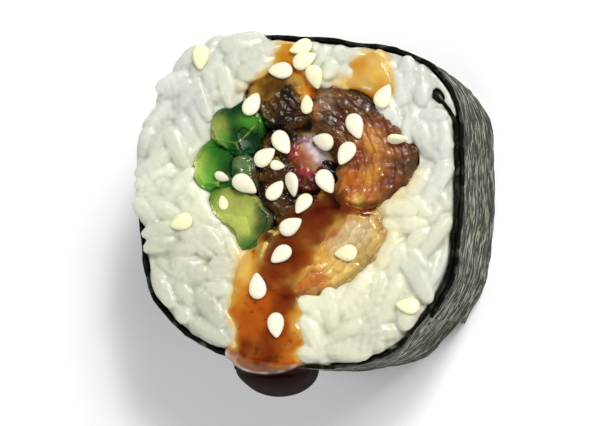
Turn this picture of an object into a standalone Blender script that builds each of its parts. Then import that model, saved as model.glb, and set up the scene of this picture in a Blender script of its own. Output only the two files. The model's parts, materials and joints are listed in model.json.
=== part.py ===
"""One cut piece of a thick maki roll, lying on its lower cut face.

A strip of nori is wound a little over once round a body of sushi rice. Sticks of cucumber
and strips of grilled eel run through the rice from one cut face to the other, and a thick
drip of glaze hangs on the outside of the nori. Metres, +Z up along the axis of the roll,
with the origin in the middle of the base.
"""

import math

import bmesh
import bpy
import numpy as np
from mathutils import Vector, noise

MM = 0.001

# Driving sizes.
ROLL_HEIGHT = 25.0 * MM        # from one cut face to the other
RICE_DOME = 0.5 * MM           # how far the rice swells above the cut near the fillings
GAP = 0.3 * MM                 # between neighbouring pieces

NORI_THICKNESS = 0.5 * MM
NORI_BELOW_CUT = 0.8 * MM      # the nori's edge sits this far under the rice
NORI_CRINKLE = 0.22 * MM       # how far the sheet wanders in and out
NORI_EDGE_WAVE = 0.25 * MM     # how far its cut edge rises and falls
NORI_STEP = 1.6 * MM           # between points along the sheet
NORI_LEVELS = 5                # rows of points up the sheet
LAYER_PITCH = NORI_THICKNESS + 0.25 * MM   # from one layer of nori to the next

WINDING_START_DEG = 27.0       # where the inner end of the sheet leaves the outside
OVERLAP_DEG = 72.0             # how far the outer end laps over the first turn
LAYER_EASE_DEG = 16.0          # turn in which the inner layer steps out to the outside
TAIL_LENGTH = 4.6 * MM         # the inner end of the sheet, tucked into the rice
TAIL_LEAN_DEG = 41.0           # how steeply the tail cuts into the rice
TAIL_BEAD = 0.4 * MM           # extra half thickness where the tip of the tail is folded
TAIL_POINTS = (0.0, 0.3, 0.75, 1.3, 1.9, 2.6, 3.4)   # along the tail, in mm from its tip

RICE_SPOKES = 96               # sections round the rice
RICE_LUMP = 0.35 * MM          # depth of the relief on the rice
RICE_LUMP_SIZE = 4.5 * MM      # a little under the length of a cooked grain
LIP_REACH = 1.1 * MM           # how far the rice bulges over the edge of the nori
LIP_FROM_DEG = 98.0
LIP_TO_DEG = 188.0

STICK_POINTS = 28              # points round the outline of each filling
STICK_LUMP = 0.4 * MM          # depth of the relief on a filling's cut end
STICK_ROUNDING = 0.5 * MM      # how far the edge of that end is rounded down
PRESS_REACH = 2.2 * MM         # a filling swells to close a gap up to this wide
PRESS_ROUNDS = 8

DRIP_HALF_WIDTH = 5.4 * MM
DRIP_BULGE = 3.6 * MM
DRIP_MIDDLE_DEG = -99.5        # where on the outline it hangs
DRIP_TOP = 24.0 * MM
DRIP_BOTTOM = 11.5 * MM

# Outline of the roll in millimetres, anticlockwise from the right: a rounded square that
# is blunt at the upper left and full at the lower right, as a rolling mat leaves it.
ROLL_OUTLINE = [
    (22.0, 4.0), (21.3, 13.0), (15.8, 18.9), (4.1, 21.4), (-8.0, 22.2), (-16.3, 18.6),
    (-21.2, 9.0), (-22.5, -2.0), (-20.1, -13.4), (-11.8, -20.1), (1.0, -22.5),
    (12.4, -20.5), (19.7, -13.0), (21.8, -4.0),
]

# The fillings: outline in millimetres, anticlockwise, and height above the cut.
FILLINGS = {
    "cucumber_upper": (
        [(-6.8, 6.9), (-6.1, 10.3), (-7.4, 12.9), (-9.8, 11.7), (-11.6, 11.5),
         (-11.4, 9.3), (-10.5, 8.0), (-8.8, 6.7)],
        0.1,
    ),
    "cucumber_middle": (
        [(-9.6, 4.9), (-10.9, 7.2), (-12.9, 7.2), (-14.5, 5.1), (-13.7, 3.0),
         (-12.5, 1.8), (-10.4, 1.6), (-9.5, 2.8)],
        0.0,
    ),
    "cucumber_core": (
        [(-6.5, 4.4), (-7.7, 5.9), (-8.9, 5.2), (-8.9, 3.6), (-8.3, 1.9), (-6.5, 2.2)],
        0.4,
    ),
    "cucumber_lower": (
        [(-4.5, -2.4), (-6.9, -0.2), (-9.5, 1.0), (-12.7, 1.0), (-11.2, -1.8),
         (-8.9, -4.3), (-8.1, -6.5), (-6.4, -5.3)],
        0.3,
    ),
    "eel_upper_left": (
        [(0.4, 11.3), (0.3, 14.8), (-0.6, 16.8), (-3.2, 17.0), (-6.8, 15.1),
         (-6.3, 13.3), (-5.2, 11.1), (-3.2, 10.0), (-0.3, 9.8)],
        -0.3,
    ),
    "eel_upper_right": (
        [(15.5, 4.8), (15.2, 7.2), (13.4, 9.5), (11.2, 11.9), (9.0, 13.9), (5.9, 14.3),
         (2.6, 14.2), (2.2, 11.4), (2.8, 9.0), (4.9, 7.5), (5.5, 4.8), (5.4, 1.8),
         (6.3, -0.3), (8.2, -1.0), (10.9, -0.2), (13.6, 1.8)],
        0.5,
    ),
    "eel_centre": (
        [(4.6, 4.6), (3.8, 6.7), (1.8, 8.3), (-0.5, 9.0), (-3.6, 9.1), (-5.3, 7.8),
         (-5.6, 5.4), (-5.3, 3.2), (-3.2, 2.1), (-0.5, 1.3), (2.0, 1.1), (4.4, 1.5)],
        -0.7,
    ),
    "eel_strip": (
        [(4.4, 0.2), (1.6, 0.3), (-0.8, 0.6), (-3.3, 1.3), (-5.4, 1.6), (-5.3, 0.2),
         (-3.6, -2.2), (-1.2, -2.4), (1.5, -1.6), (4.2, -1.0)],
        -0.5,
    ),
    "eel_lower": (
        [(11.3, -4.8), (9.7, -2.6), (6.8, -2.0), (3.6, -2.1), (0.8, -2.8), (-2.0, -3.8),
         (-4.4, -5.5), (-5.7, -8.2), (-4.8, -10.8), (-2.4, -12.8), (0.6, -13.0),
         (3.8, -12.2), (7.0, -10.7), (9.4, -8.6), (11.0, -6.9)],
        0.3,
    ),
}

# Materials: linear colour, roughness.
NORI_GREEN = ((0.020, 0.026, 0.016), 0.55)
RICE_WHITE = ((0.72, 0.72, 0.62), 0.45)
CUCUMBER_GREEN = ((0.16, 0.34, 0.05), 0.35)
EEL_BROWN = ((0.36, 0.15, 0.04), 0.35)
GLAZE_BROWN = ((0.05, 0.008, 0.002), 0.12)


# ---------------------------------------------------------------- curves

def closed_curve(knots, count):
    """The count evenly spaced points of a closed Catmull-Rom curve through the knots."""
    ring = np.array(knots, float)
    before, after, beyond = np.roll(ring, 1, 0), np.roll(ring, -1, 0), np.roll(ring, -2, 0)
    fine = []
    for t in np.linspace(0.0, 1.0, 32, endpoint=False):
        fine.append(0.5 * (
            2.0 * ring
            + (after - before) * t
            + (2.0 * before - 5.0 * ring + 4.0 * after - beyond) * t ** 2
            + (3.0 * ring - before - 3.0 * after + beyond) * t ** 3
        ))
    fine = np.stack(fine, axis=1).reshape(-1, 2)
    fine = np.vstack([fine, fine[:1]])
    run = np.concatenate([[0.0], np.cumsum(np.linalg.norm(np.diff(fine, axis=0), axis=1))])
    at = np.linspace(0.0, run[-1], count, endpoint=False)
    return np.stack([np.interp(at, run, fine[:, k]) for k in (0, 1)], axis=1)


def ray_reach(loop, origin, angle):
    """Distance from the origin to where a ray at this angle last leaves the loop, or 0."""
    way = np.array([math.cos(angle), math.sin(angle)])
    start = loop - origin
    edge = np.roll(loop, -1, 0) - loop
    cross = way[0] * edge[:, 1] - way[1] * edge[:, 0]
    cross[cross == 0.0] = 1e-12
    reach = (start[:, 0] * edge[:, 1] - start[:, 1] * edge[:, 0]) / cross
    along = (start[:, 0] * way[1] - start[:, 1] * way[0]) / cross
    hits = reach[(along >= 0.0) & (along <= 1.0) & (reach > 0.0)]
    return float(hits.max()) if len(hits) else 0.0


def hump(value, low, high):
    """A smooth hump that is 0 outside low and high, and 1 halfway between them."""
    share = (value - low) / (high - low)
    return math.sin(math.pi * share) if 0.0 < share < 1.0 else 0.0


def ease(value, start, width):
    """Rises smoothly from 0 to 1 over this width, beginning at start."""
    share = min(max((value - start) / width, 0.0), 1.0)
    return share * share * (3.0 - 2.0 * share)


def relief(point, size, seed):
    """Smooth lumps of about this size, from -1 to 1."""
    return noise.noise(Vector(point) / size + Vector((seed, 2.0 * seed, -seed)))


OUTLINE = closed_curve(ROLL_OUTLINE, 720) * MM


def outline_radius(angle):
    """Distance from the axis to the outside of the roll at this angle."""
    return ray_reach(OUTLINE, np.zeros(2), angle)


def crinkle(angle, height):
    """How far the nori stands in or out at this angle and height."""
    at = (40.0 * MM * math.cos(angle), 40.0 * MM * math.sin(angle), 0.5 * height)
    return NORI_CRINKLE * relief(at, 6.0 * MM, 3.0)


# ---------------------------------------------------------------- meshes

def finish(name, builder, finish_of, smooth_deg=50.0):
    """Turns a bmesh into a named, shaded object with its own material."""
    bmesh.ops.recalc_face_normals(builder, faces=builder.faces)
    mesh = bpy.data.meshes.new(name)
    builder.to_mesh(mesh)
    builder.free()
    mesh.shade_smooth()
    mesh.set_sharp_from_angle(angle=math.radians(smooth_deg))
    piece = bpy.data.objects.new(name, mesh)
    bpy.context.scene.collection.objects.link(piece)
    colour, roughness = finish_of
    material = bpy.data.materials.new(name + "_finish")
    material.use_nodes = True
    shader = material.node_tree.nodes["Principled BSDF"]
    shader.inputs["Base Color"].default_value = (*colour, 1.0)
    shader.inputs["Roughness"].default_value = roughness
    shader.inputs["Metallic"].default_value = 0.0
    mesh.materials.append(material)
    return piece


def bridge(builder, lower, upper):
    """Quads between two closed rings of the same number of vertices."""
    count = len(lower)
    for i in range(count):
        j = (i + 1) % count
        builder.faces.new((lower[i], lower[j], upper[j], upper[i]))


# ---------------------------------------------------------------- nori

def sheet_path():
    """Centre line of the nori from the tail's tip on, as (point, half thickness)."""
    start = math.radians(WINDING_START_DEG)
    end = start - math.radians(360.0 + OVERLAP_DEG)
    outer_end = start - math.radians(OVERLAP_DEG)
    half = NORI_THICKNESS / 2.0
    path = []

    # The tail: a short straight run into the rice, thicker where its tip is folded.
    reach = outline_radius(start) - half - LAYER_PITCH
    foot = np.array([math.cos(start), math.sin(start)]) * reach
    lean = math.radians(90.0 + TAIL_LEAN_DEG)
    way = np.array([math.cos(lean), math.sin(lean)])
    for far in TAIL_POINTS:
        bead = TAIL_BEAD * math.exp(-((far - 0.75) / 0.6) ** 2)
        path.append((foot + way * (TAIL_LENGTH - far * MM), half + bead))

    # The winding, clockwise: inner layer, a step out, then the outside of the roll.
    angle = start - math.radians(3.0)
    while angle > end:
        step_out = ease(outer_end - angle, 0.0, math.radians(LAYER_EASE_DEG))
        reach = outline_radius(angle) - half - LAYER_PITCH * (1.0 - step_out)
        path.append((np.array([math.cos(angle), math.sin(angle)]) * reach, half))
        angle -= NORI_STEP / reach
    return path


def nori_sheet():
    """The nori: one strip wound a little over once, with its inner end tucked in."""
    path = sheet_path()
    points = np.array([at for at, _ in path])
    along = np.gradient(points, axis=0)
    along /= np.linalg.norm(along, axis=1)[:, None]
    outward = np.stack([-along[:, 1], along[:, 0]], axis=1)
    builder = bmesh.new()
    rows = {}
    for side in (1, -1):
        for index, (at, half) in enumerate(path):
            angle = math.atan2(at[1], at[0])
            edge = NORI_EDGE_WAVE * relief((*at, 0.0), 5.0 * MM, 7.0)
            top = ROLL_HEIGHT - NORI_BELOW_CUT + edge
            for level in range(NORI_LEVELS):
                height = top * level / (NORI_LEVELS - 1)
                spot = at + outward[index] * side * half
                spot = spot * (1.0 + crinkle(angle, height) / np.linalg.norm(at))
                rows[side, index, level] = builder.verts.new((*spot, height))
    last, top = len(path) - 1, NORI_LEVELS - 1

    def quad(*keys):
        builder.faces.new([rows[key] for key in keys])

    for index in range(last):
        for level in range(top):
            for side in (1, -1):
                quad((side, index, level), (side, index + 1, level),
                     (side, index + 1, level + 1), (side, index, level + 1))
        for level in (0, top):
            quad((1, index, level), (1, index + 1, level),
                 (-1, index + 1, level), (-1, index, level))
    for index in (0, last):
        for level in range(top):
            quad((1, index, level), (1, index, level + 1),
                 (-1, index, level + 1), (-1, index, level))
    return finish("nori_sheet", builder, NORI_GREEN)


def tail_cutter():
    """The slot that the nori's inner end needs in the rice, as a hidden cutter."""
    path = sheet_path()[:len(TAIL_POINTS) + 2]
    builder = bmesh.new()
    left, right = [], []
    points = np.array([at for at, _ in path])
    along = np.gradient(points, axis=0)
    along /= np.linalg.norm(along, axis=1)[:, None]
    outward = np.stack([-along[:, 1], along[:, 0]], axis=1)
    points[0] -= along[0] * GAP
    for index, (_, half) in enumerate(path):
        left.append(points[index] + outward[index] * (half + GAP))
        right.append(points[index] - outward[index] * (half + GAP))
    right[-1] = right[-1] + outward[-1] * GAP
    loop = left + right[::-1]
    low = [builder.verts.new((*spot, -2.0 * MM)) for spot in loop]
    high = [builder.verts.new((*spot, ROLL_HEIGHT + 4.0 * MM)) for spot in loop]
    bridge(builder, low, high)
    builder.faces.new(low)
    builder.faces.new(high)
    cutter = finish("tail_slot", builder, NORI_GREEN)
    cutter.hide_render = True
    cutter.display_type = "WIRE"
    return cutter


# ---------------------------------------------------------------- fillings

def cavity_loop(loops):
    """The hole in the rice: the outline, seen from its middle, of all the fillings."""
    pitch = 2.0 * math.pi / RICE_SPOKES
    reaches = []
    for spoke in range(RICE_SPOKES):
        turns = [pitch * (spoke + share) for share in np.linspace(-1.0, 1.0, 9)]
        reaches.append(max(ray_reach(loop, CAVITY_MIDDLE, turn)
                           for loop in loops for turn in turns))
    ring = []
    for spoke in range(RICE_SPOKES):
        # A notch one spoke wide is too narrow for rice to press into.
        notch = min(reaches[spoke - 1], reaches[(spoke + 1) % RICE_SPOKES])
        reach = max(reaches[spoke], notch) + GAP
        way = np.array([math.cos(pitch * spoke), math.sin(pitch * spoke)])
        ring.append(CAVITY_MIDDLE + way * reach)
    return np.array(ring)


def nearest_on(loop, spot):
    """The point of a closed loop that is nearest to this spot."""
    edge = np.roll(loop, -1, 0) - loop
    share = ((spot - loop) * edge).sum(axis=1) / (edge ** 2).sum(axis=1)
    feet = loop + edge * np.clip(share, 0.0, 1.0)[:, None]
    return feet[np.linalg.norm(feet - spot, axis=1).argmin()]


def press_together(loops, cavity):
    """Swells the fillings, which are soft, until they lie a gap apart and fill the hole."""
    for _ in range(PRESS_ROUNDS):
        swollen = []
        for index, loop in enumerate(loops):
            others = loops[:index] + loops[index + 1:]
            moved = loop.copy()
            for i, spot in enumerate(loop):
                feet = [(nearest_on(other, spot), 0.4) for other in others]
                feet.append((nearest_on(cavity, spot), 0.5))
                foot, share = min(feet, key=lambda pair: np.linalg.norm(pair[0] - spot))
                far = np.linalg.norm(foot - spot)
                if far < PRESS_REACH:
                    moved[i] += (foot - spot) / far * (far - GAP) * share
            swollen.append(moved)
        loops = swollen
    return loops


CAVITY_MIDDLE = np.array([-0.5, 2.0]) * MM
LOOSE_LOOPS = [closed_curve(knots, STICK_POINTS) * MM for knots, _ in FILLINGS.values()]
CAVITY = cavity_loop(LOOSE_LOOPS)
LOOPS = dict(zip(FILLINGS, press_together(LOOSE_LOOPS, CAVITY)))


def filling(name, finish_of, seed):
    """One stick or strip that runs through the roll, flat below and uneven on top."""
    loop = LOOPS[name]
    middle = loop.mean(axis=0)
    top = ROLL_HEIGHT + FILLINGS[name][1] * MM
    builder = bmesh.new()

    def ring(scale, height, lumps):
        made = []
        for spot in loop:
            at = middle + (spot - middle) * scale
            rise = lumps * STICK_LUMP * relief((*at, 0.0), 3.0 * MM, seed)
            made.append(builder.verts.new((*at, height + rise)))
        return made

    rings = [ring(1.0, 0.0, 0.0), ring(1.0, top - STICK_ROUNDING, 0.6)]
    for scale in (0.90, 0.62, 0.30):
        rings.append(ring(scale, top, 1.3))
    for lower, upper in zip(rings, rings[1:]):
        bridge(builder, lower, upper)
    inner = rings[-1]
    crown = builder.verts.new((*middle, sum(vert.co.z for vert in inner) / len(inner)))
    for i in range(len(inner)):
        builder.faces.new((inner[i], inner[(i + 1) % len(inner)], crown))
    builder.faces.new(rings[0])
    return finish(name, builder, finish_of)


# ---------------------------------------------------------------- rice

def rice():
    """The rice between the fillings and the nori, out to its uneven outline."""
    middle = CAVITY_MIDDLE
    builder = bmesh.new()
    wall = LAYER_PITCH + NORI_THICKNESS + GAP
    single = NORI_THICKNESS + GAP
    nori_top = ROLL_HEIGHT - NORI_BELOW_CUT
    lip_top = ROLL_HEIGHT - 0.1 * MM
    start = WINDING_START_DEG
    sections = []
    for spoke in range(RICE_SPOKES):
        turn = 2.0 * math.pi * spoke / RICE_SPOKES
        way = np.array([math.cos(turn), math.sin(turn)])
        edge = middle + way * ray_reach(OUTLINE, middle, turn)
        angle = math.atan2(edge[1], edge[0])
        degrees = math.degrees(angle)
        # Degrees clockwise from where the winding starts, so 0 to OVERLAP_DEG is double.
        wound = (start - degrees) % 360.0
        inset = wall + (single - wall) * ease(wound, OVERLAP_DEG, LAYER_EASE_DEG)

        def on_wall(depth, height):
            """A point this far inside the roll's outline, following the crinkles."""
            reach = np.linalg.norm(edge) - depth + crinkle(angle, height)
            return (*(edge / np.linalg.norm(edge) * reach), height)

        lip = LIP_REACH * hump(degrees % 360.0, LIP_FROM_DEG, LIP_TO_DEG)
        lip *= 1.0 + 0.35 * relief((*edge, 0.0), RICE_LUMP_SIZE, 31.0)
        inner = CAVITY[spoke]
        section = [(*inner, 0.0), (*inner, ROLL_HEIGHT - 0.8 * MM)]
        outer = np.array(on_wall(inset + 0.6 * MM, 0.0)[:2])
        for share in (0.06, 0.3, 0.55, 0.8, 1.0):
            at = inner + (outer - inner) * share
            rise = RICE_LUMP * relief((*at, 0.0), RICE_LUMP_SIZE, 11.0)
            dome = RICE_DOME * math.sin(math.pi * min(1.0, 0.25 + 0.75 * share))
            section.append((*at, ROLL_HEIGHT + dome + rise - 0.25 * MM * share))
        if lip > 0.15 * MM:
            clear = nori_top + NORI_EDGE_WAVE + GAP
            section.append(on_wall(inset - lip - single, lip_top))
            section.append(on_wall(inset - lip - single, clear))
            section.append(on_wall(inset, clear))
        else:
            for depth, height in ((0.25, 0.15), (0.0, 0.6), (0.0, 1.0)):
                section.append(on_wall(inset + depth * MM, ROLL_HEIGHT - height * MM))
        for share in (0.75, 0.5, 0.25, 0.0):
            section.append(on_wall(inset, nori_top * share))
        sections.append([builder.verts.new(point) for point in section])
    for spoke in range(RICE_SPOKES):
        bridge(builder, sections[spoke], sections[(spoke + 1) % RICE_SPOKES])
    body = finish("rice", builder, RICE_WHITE, 70.0)
    slot = body.modifiers.new("tail_slot", "BOOLEAN")
    slot.operation = "DIFFERENCE"
    slot.object = tail_cutter()
    return body


# ---------------------------------------------------------------- glaze

def sauce_drip():
    """The thick drip of glaze that hangs on the outside of the nori."""
    columns, rows = 14, 12
    centre = math.radians(DRIP_MIDDLE_DEG)
    half_turn = DRIP_HALF_WIDTH / outline_radius(centre)
    length = DRIP_TOP - DRIP_BOTTOM
    builder = bmesh.new()
    front, back = {}, {}
    for row in range(rows + 1):
        fall = row / rows
        # A pendant drop: narrow where it runs over the edge, widest low down.
        width = math.sin(math.pi * fall ** 0.8) ** 0.55 if 0 < row < rows else 0.0
        belly = math.sin(math.pi * fall ** 1.25) ** 0.8 if 0 < row < rows else 0.0
        height = DRIP_TOP - length * fall
        for column in range(columns + 1):
            across = 2.0 * column / columns - 1.0
            angle = centre + half_turn * across * (0.25 + 0.75 * width)
            spread = 0.0 if column in (0, columns) else math.sqrt(1.0 - across ** 2)
            skin = outline_radius(angle) + crinkle(angle, height) + GAP
            way = np.array([math.cos(angle), math.sin(angle)])
            border = row in (0, rows) or column in (0, columns)
            swell = 0.2 * MM + DRIP_BULGE * spread * belly
            front[row, column] = builder.verts.new((*(way * (skin + swell)), height))
            if border:
                back[row, column] = front[row, column]
            else:
                back[row, column] = builder.verts.new((*(way * skin), height))
    for row in range(rows):
        for column in range(columns):
            corners = ((row, column), (row + 1, column), (row + 1, column + 1),
                       (row, column + 1))
            builder.faces.new([front[key] for key in corners])
            builder.faces.new([back[key] for key in corners])
    return finish("sauce_drip", builder, GLAZE_BROWN)


# ---------------------------------------------------------------- the whole piece

def centre_on_base(pieces):
    """Moves the model so that the middle of its base is the origin."""
    bpy.context.view_layer.update()
    graph = bpy.context.evaluated_depsgraph_get()
    spots = []
    for piece in pieces:
        spots += [Vector(corner) for corner in piece.evaluated_get(graph).bound_box]
    low = Vector(map(min, *spots))
    high = Vector(map(max, *spots))
    shift = Vector((-(low.x + high.x) / 2.0, -(low.y + high.y) / 2.0, -low.z))
    for item in bpy.data.objects:
        item.location += shift


def main():
    """Clears the scene and builds every piece."""
    for leftover in list(bpy.data.objects):
        bpy.data.objects.remove(leftover)
    pieces = [nori_sheet(), rice(), sauce_drip()]
    for seed, name in enumerate(FILLINGS):
        finish_of = CUCUMBER_GREEN if name.startswith("cucumber") else EEL_BROWN
        pieces.append(filling(name, finish_of, 20.0 + seed))
    centre_on_base(pieces)


main()
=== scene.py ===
"""Looks of one cut piece of a thick maki roll, lying on its lower cut face.

The frame gives the nori, the rice, the sticks of cucumber, the strips of eel and the drip of
glaze as plain solids. This script dresses them: loose grains over a core of rice, a crinkled
and fibrous sheet of nori, moist fillings, a film of glaze that settles between the grains and
runs over the rim, and toasted sesame seeds.

Places on the cut face are in millimetres from the roll's axis, +X to the right and +Y up the
face. Everything in Blender is in metres.
"""

from __future__ import annotations

import json
import logging
import math
from dataclasses import dataclass, field
from enum import Enum
from typing import Any, Iterable, Sequence

import bmesh
import bpy
import numpy as np
from mathutils import Matrix, Vector, noise
from mathutils.bvhtree import BVHTree
from mathutils.kdtree import KDTree

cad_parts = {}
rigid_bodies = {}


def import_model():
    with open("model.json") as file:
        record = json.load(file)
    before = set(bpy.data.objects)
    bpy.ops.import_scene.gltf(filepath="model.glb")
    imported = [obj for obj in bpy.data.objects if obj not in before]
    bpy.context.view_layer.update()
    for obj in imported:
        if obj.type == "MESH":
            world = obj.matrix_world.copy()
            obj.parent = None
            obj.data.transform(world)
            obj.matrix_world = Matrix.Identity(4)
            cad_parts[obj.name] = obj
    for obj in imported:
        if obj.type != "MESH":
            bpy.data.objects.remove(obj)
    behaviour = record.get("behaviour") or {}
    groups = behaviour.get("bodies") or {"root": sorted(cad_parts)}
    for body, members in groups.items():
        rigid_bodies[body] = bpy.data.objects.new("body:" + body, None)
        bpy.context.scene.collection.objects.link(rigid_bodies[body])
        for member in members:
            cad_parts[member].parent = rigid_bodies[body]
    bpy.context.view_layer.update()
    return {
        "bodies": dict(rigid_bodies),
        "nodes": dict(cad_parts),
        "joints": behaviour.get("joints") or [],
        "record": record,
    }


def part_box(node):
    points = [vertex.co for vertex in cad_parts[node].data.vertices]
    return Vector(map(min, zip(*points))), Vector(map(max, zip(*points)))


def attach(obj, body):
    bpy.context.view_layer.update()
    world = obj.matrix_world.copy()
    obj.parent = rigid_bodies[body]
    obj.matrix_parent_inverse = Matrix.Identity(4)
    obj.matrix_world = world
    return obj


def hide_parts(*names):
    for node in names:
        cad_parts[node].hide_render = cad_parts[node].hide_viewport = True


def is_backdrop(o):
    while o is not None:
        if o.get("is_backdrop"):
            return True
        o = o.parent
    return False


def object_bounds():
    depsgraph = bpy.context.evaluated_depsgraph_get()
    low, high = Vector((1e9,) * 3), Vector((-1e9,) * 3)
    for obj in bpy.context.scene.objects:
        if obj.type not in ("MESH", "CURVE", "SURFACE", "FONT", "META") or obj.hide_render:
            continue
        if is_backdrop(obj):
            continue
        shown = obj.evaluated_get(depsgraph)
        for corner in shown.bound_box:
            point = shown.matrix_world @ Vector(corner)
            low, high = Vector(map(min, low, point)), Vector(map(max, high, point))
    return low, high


LOG = logging.getLogger("maki")
MM = 0.001

Colour = tuple[float, float, float]


# ------------------------------------------------------------------ colours

def srgb(red: int, green: int, blue: int) -> Colour:
    """Linear colour of three 0 to 255 display values."""
    def linear(value: int) -> float:
        share = value / 255.0
        return share / 12.92 if share <= 0.04045 else ((share + 0.055) / 1.055) ** 2.4
    return linear(red), linear(green), linear(blue)


class Hue(Enum):
    """The colours of the food, named as a cook would name them, and a few that are painted light or shade on it."""

    RICE = srgb(220, 222, 203)
    RICE_COOL = srgb(216, 218, 206)
    RICE_GREENISH = srgb(220, 221, 196)
    RICE_WARM = srgb(222, 220, 192)
    RICE_STAINED = srgb(216, 180, 96)
    RICE_TINGED = srgb(226, 212, 156)
    RICE_SHADE = srgb(206, 205, 184)
    LIME_FLESH = srgb(158, 166, 80)
    LIME_EDGE = srgb(186, 196, 96)
    LEAF = srgb(74, 136, 34)
    SKIN_GREEN = srgb(24, 92, 28)
    DEEP_GREEN = srgb(4, 46, 16)
    SEED_JELLY = srgb(88, 112, 66)
    JELLY_LIGHT = srgb(118, 142, 90)
    BLACK_BROWN = srgb(20, 12, 7)
    UMBER = srgb(58, 32, 12)
    OLIVE_BROWN = srgb(84, 58, 16)
    CHESTNUT = srgb(98, 42, 14)
    MAROON = srgb(70, 18, 9)
    OX_RED = srgb(98, 16, 5)
    # Painted light on the glossy middle strip: a rose sheen, and mauve and lilac highlights.
    ROSE = srgb(150, 54, 50)
    MAUVE = srgb(150, 116, 126)
    LILAC = srgb(224, 210, 216)
    BRICK = srgb(116, 36, 9)
    RUST = srgb(140, 52, 9)
    AMBER = srgb(172, 86, 18)
    HONEY = srgb(204, 142, 52)
    OCHRE = srgb(196, 138, 44)
    STRAW = srgb(214, 178, 96)
    PALE_GOLD = srgb(226, 188, 92)
    CREAM = srgb(206, 186, 142)
    BUFF = srgb(184, 160, 112)
    TAN = srgb(176, 148, 88)
    FLESH = srgb(166, 106, 48)
    FLESH_RED = srgb(166, 92, 38)
    WET_RIM = srgb(124, 96, 76)
    # A painted highlight, for the glints on the lip of glaze and on the middle strip.
    PALE_RIM = srgb(232, 222, 214)
    # Grey-brown eel skin with its glints painted in.
    GRILL_GREY = srgb(126, 104, 80)
    # Near-black glaze with its shade painted in, for the drip under the rim and the gaps between the strips.
    TAR = srgb(26, 6, 2)


@dataclass(frozen=True)
class Dab:
    """A soft touch of colour on the cut face.

    Attributes:
        x: Place to the right of the roll's axis, in mm.
        y: Place up the face, in mm.
        spread: How far the touch reaches, in mm.
        hue: Its colour.
    """

    x: float
    y: float
    spread: float
    hue: Hue


def wander(spots: np.ndarray, size: float, seed: float) -> np.ndarray:
    """Smooth noise at every spot.

    Args:
        spots: Points in mm, one row each, of two or three numbers.
        size: Size of a lump, in mm.
        seed: Shifts the pattern.

    Returns:
        One value for each point, about -1 to 1.
    """
    shift = Vector((seed, seed * 1.7, -seed))
    flat = np.zeros((len(spots), 3))
    flat[:, :spots.shape[1]] = spots / size
    return np.array([noise.noise(Vector(spot) + shift) for spot in flat])


def smooth_step(value: np.ndarray, low: float, high: float) -> np.ndarray:
    """Rises smoothly from 0 at low to 1 at high."""
    share = np.clip((value - low) / (high - low), 0.0, 1.0)
    return share * share * (3.0 - 2.0 * share)


def blend_dabs(spots: np.ndarray, ground: Hue, dabs: Sequence[Dab],
               raggedness: float = 0.5) -> np.ndarray:
    """Colours the spots by the dabs near them, with ragged borders.

    Args:
        spots: Places on the face in mm, as rows of x and y.
        ground: Colour where no dab reaches.
        dabs: The touches of colour.
        raggedness: How far the borders stray, in mm.

    Returns:
        One linear colour for each spot.
    """
    strayed = spots[:, :2].copy()
    strayed[:, 0] += raggedness * wander(spots[:, :2], 1.1, 5.0)
    strayed[:, 1] += raggedness * wander(spots[:, :2], 1.1, 15.0)
    total = np.full(len(spots), 0.12)
    colour = np.outer(total, ground.value)
    for dab in dabs:
        far = np.hypot(strayed[:, 0] - dab.x, strayed[:, 1] - dab.y)
        weight = np.exp(-0.5 * (far / (0.62 * dab.spread)) ** 2)
        colour += np.outer(weight, dab.hue.value)
        total += weight
    return colour / total[:, None]


# ------------------------------------------------------------------ shader bench

@dataclass(frozen=True)
class Wire:
    """A number or colour that runs between the nodes of a material."""

    bench: "Bench"
    socket: bpy.types.NodeSocket

    def _math(self, operation: str, first: Any, second: Any) -> "Wire":
        return self.bench.node("ShaderNodeMath", {"operation": operation}, {0: first, 1: second})

    def __add__(self, other: Any) -> "Wire":
        return self._math("ADD", self, other)

    def __radd__(self, other: Any) -> "Wire":
        return self._math("ADD", other, self)

    def __sub__(self, other: Any) -> "Wire":
        return self._math("SUBTRACT", self, other)

    def __rsub__(self, other: Any) -> "Wire":
        return self._math("SUBTRACT", other, self)

    def __mul__(self, other: Any) -> "Wire":
        return self._math("MULTIPLY", self, other)

    def __rmul__(self, other: Any) -> "Wire":
        return self._math("MULTIPLY", other, self)

    def step(self, low: float, high: float, start: float = 0.0, end: float = 1.0) -> "Wire":
        """Eases from start to end as the value goes from low to high."""
        return self.bench.node(
            "ShaderNodeMapRange", {"interpolation_type": "SMOOTHSTEP"},
            {0: self, 1: low, 2: high, 3: start, 4: end},
        )

    def mix(self, first: Any, second: Any) -> "Wire":
        """The first colour where this value is 0, and the second where it is 1."""
        return self.bench.node("ShaderNodeMix", {"data_type": "RGBA"}, {0: self, 6: first, 7: second}, 2)

    def times(self, share: Any) -> "Wire":
        """This colour, each channel scaled by a number."""
        return self.bench.node("ShaderNodeVectorMath", {"operation": "SCALE"}, {0: self, "Scale": share})


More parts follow.
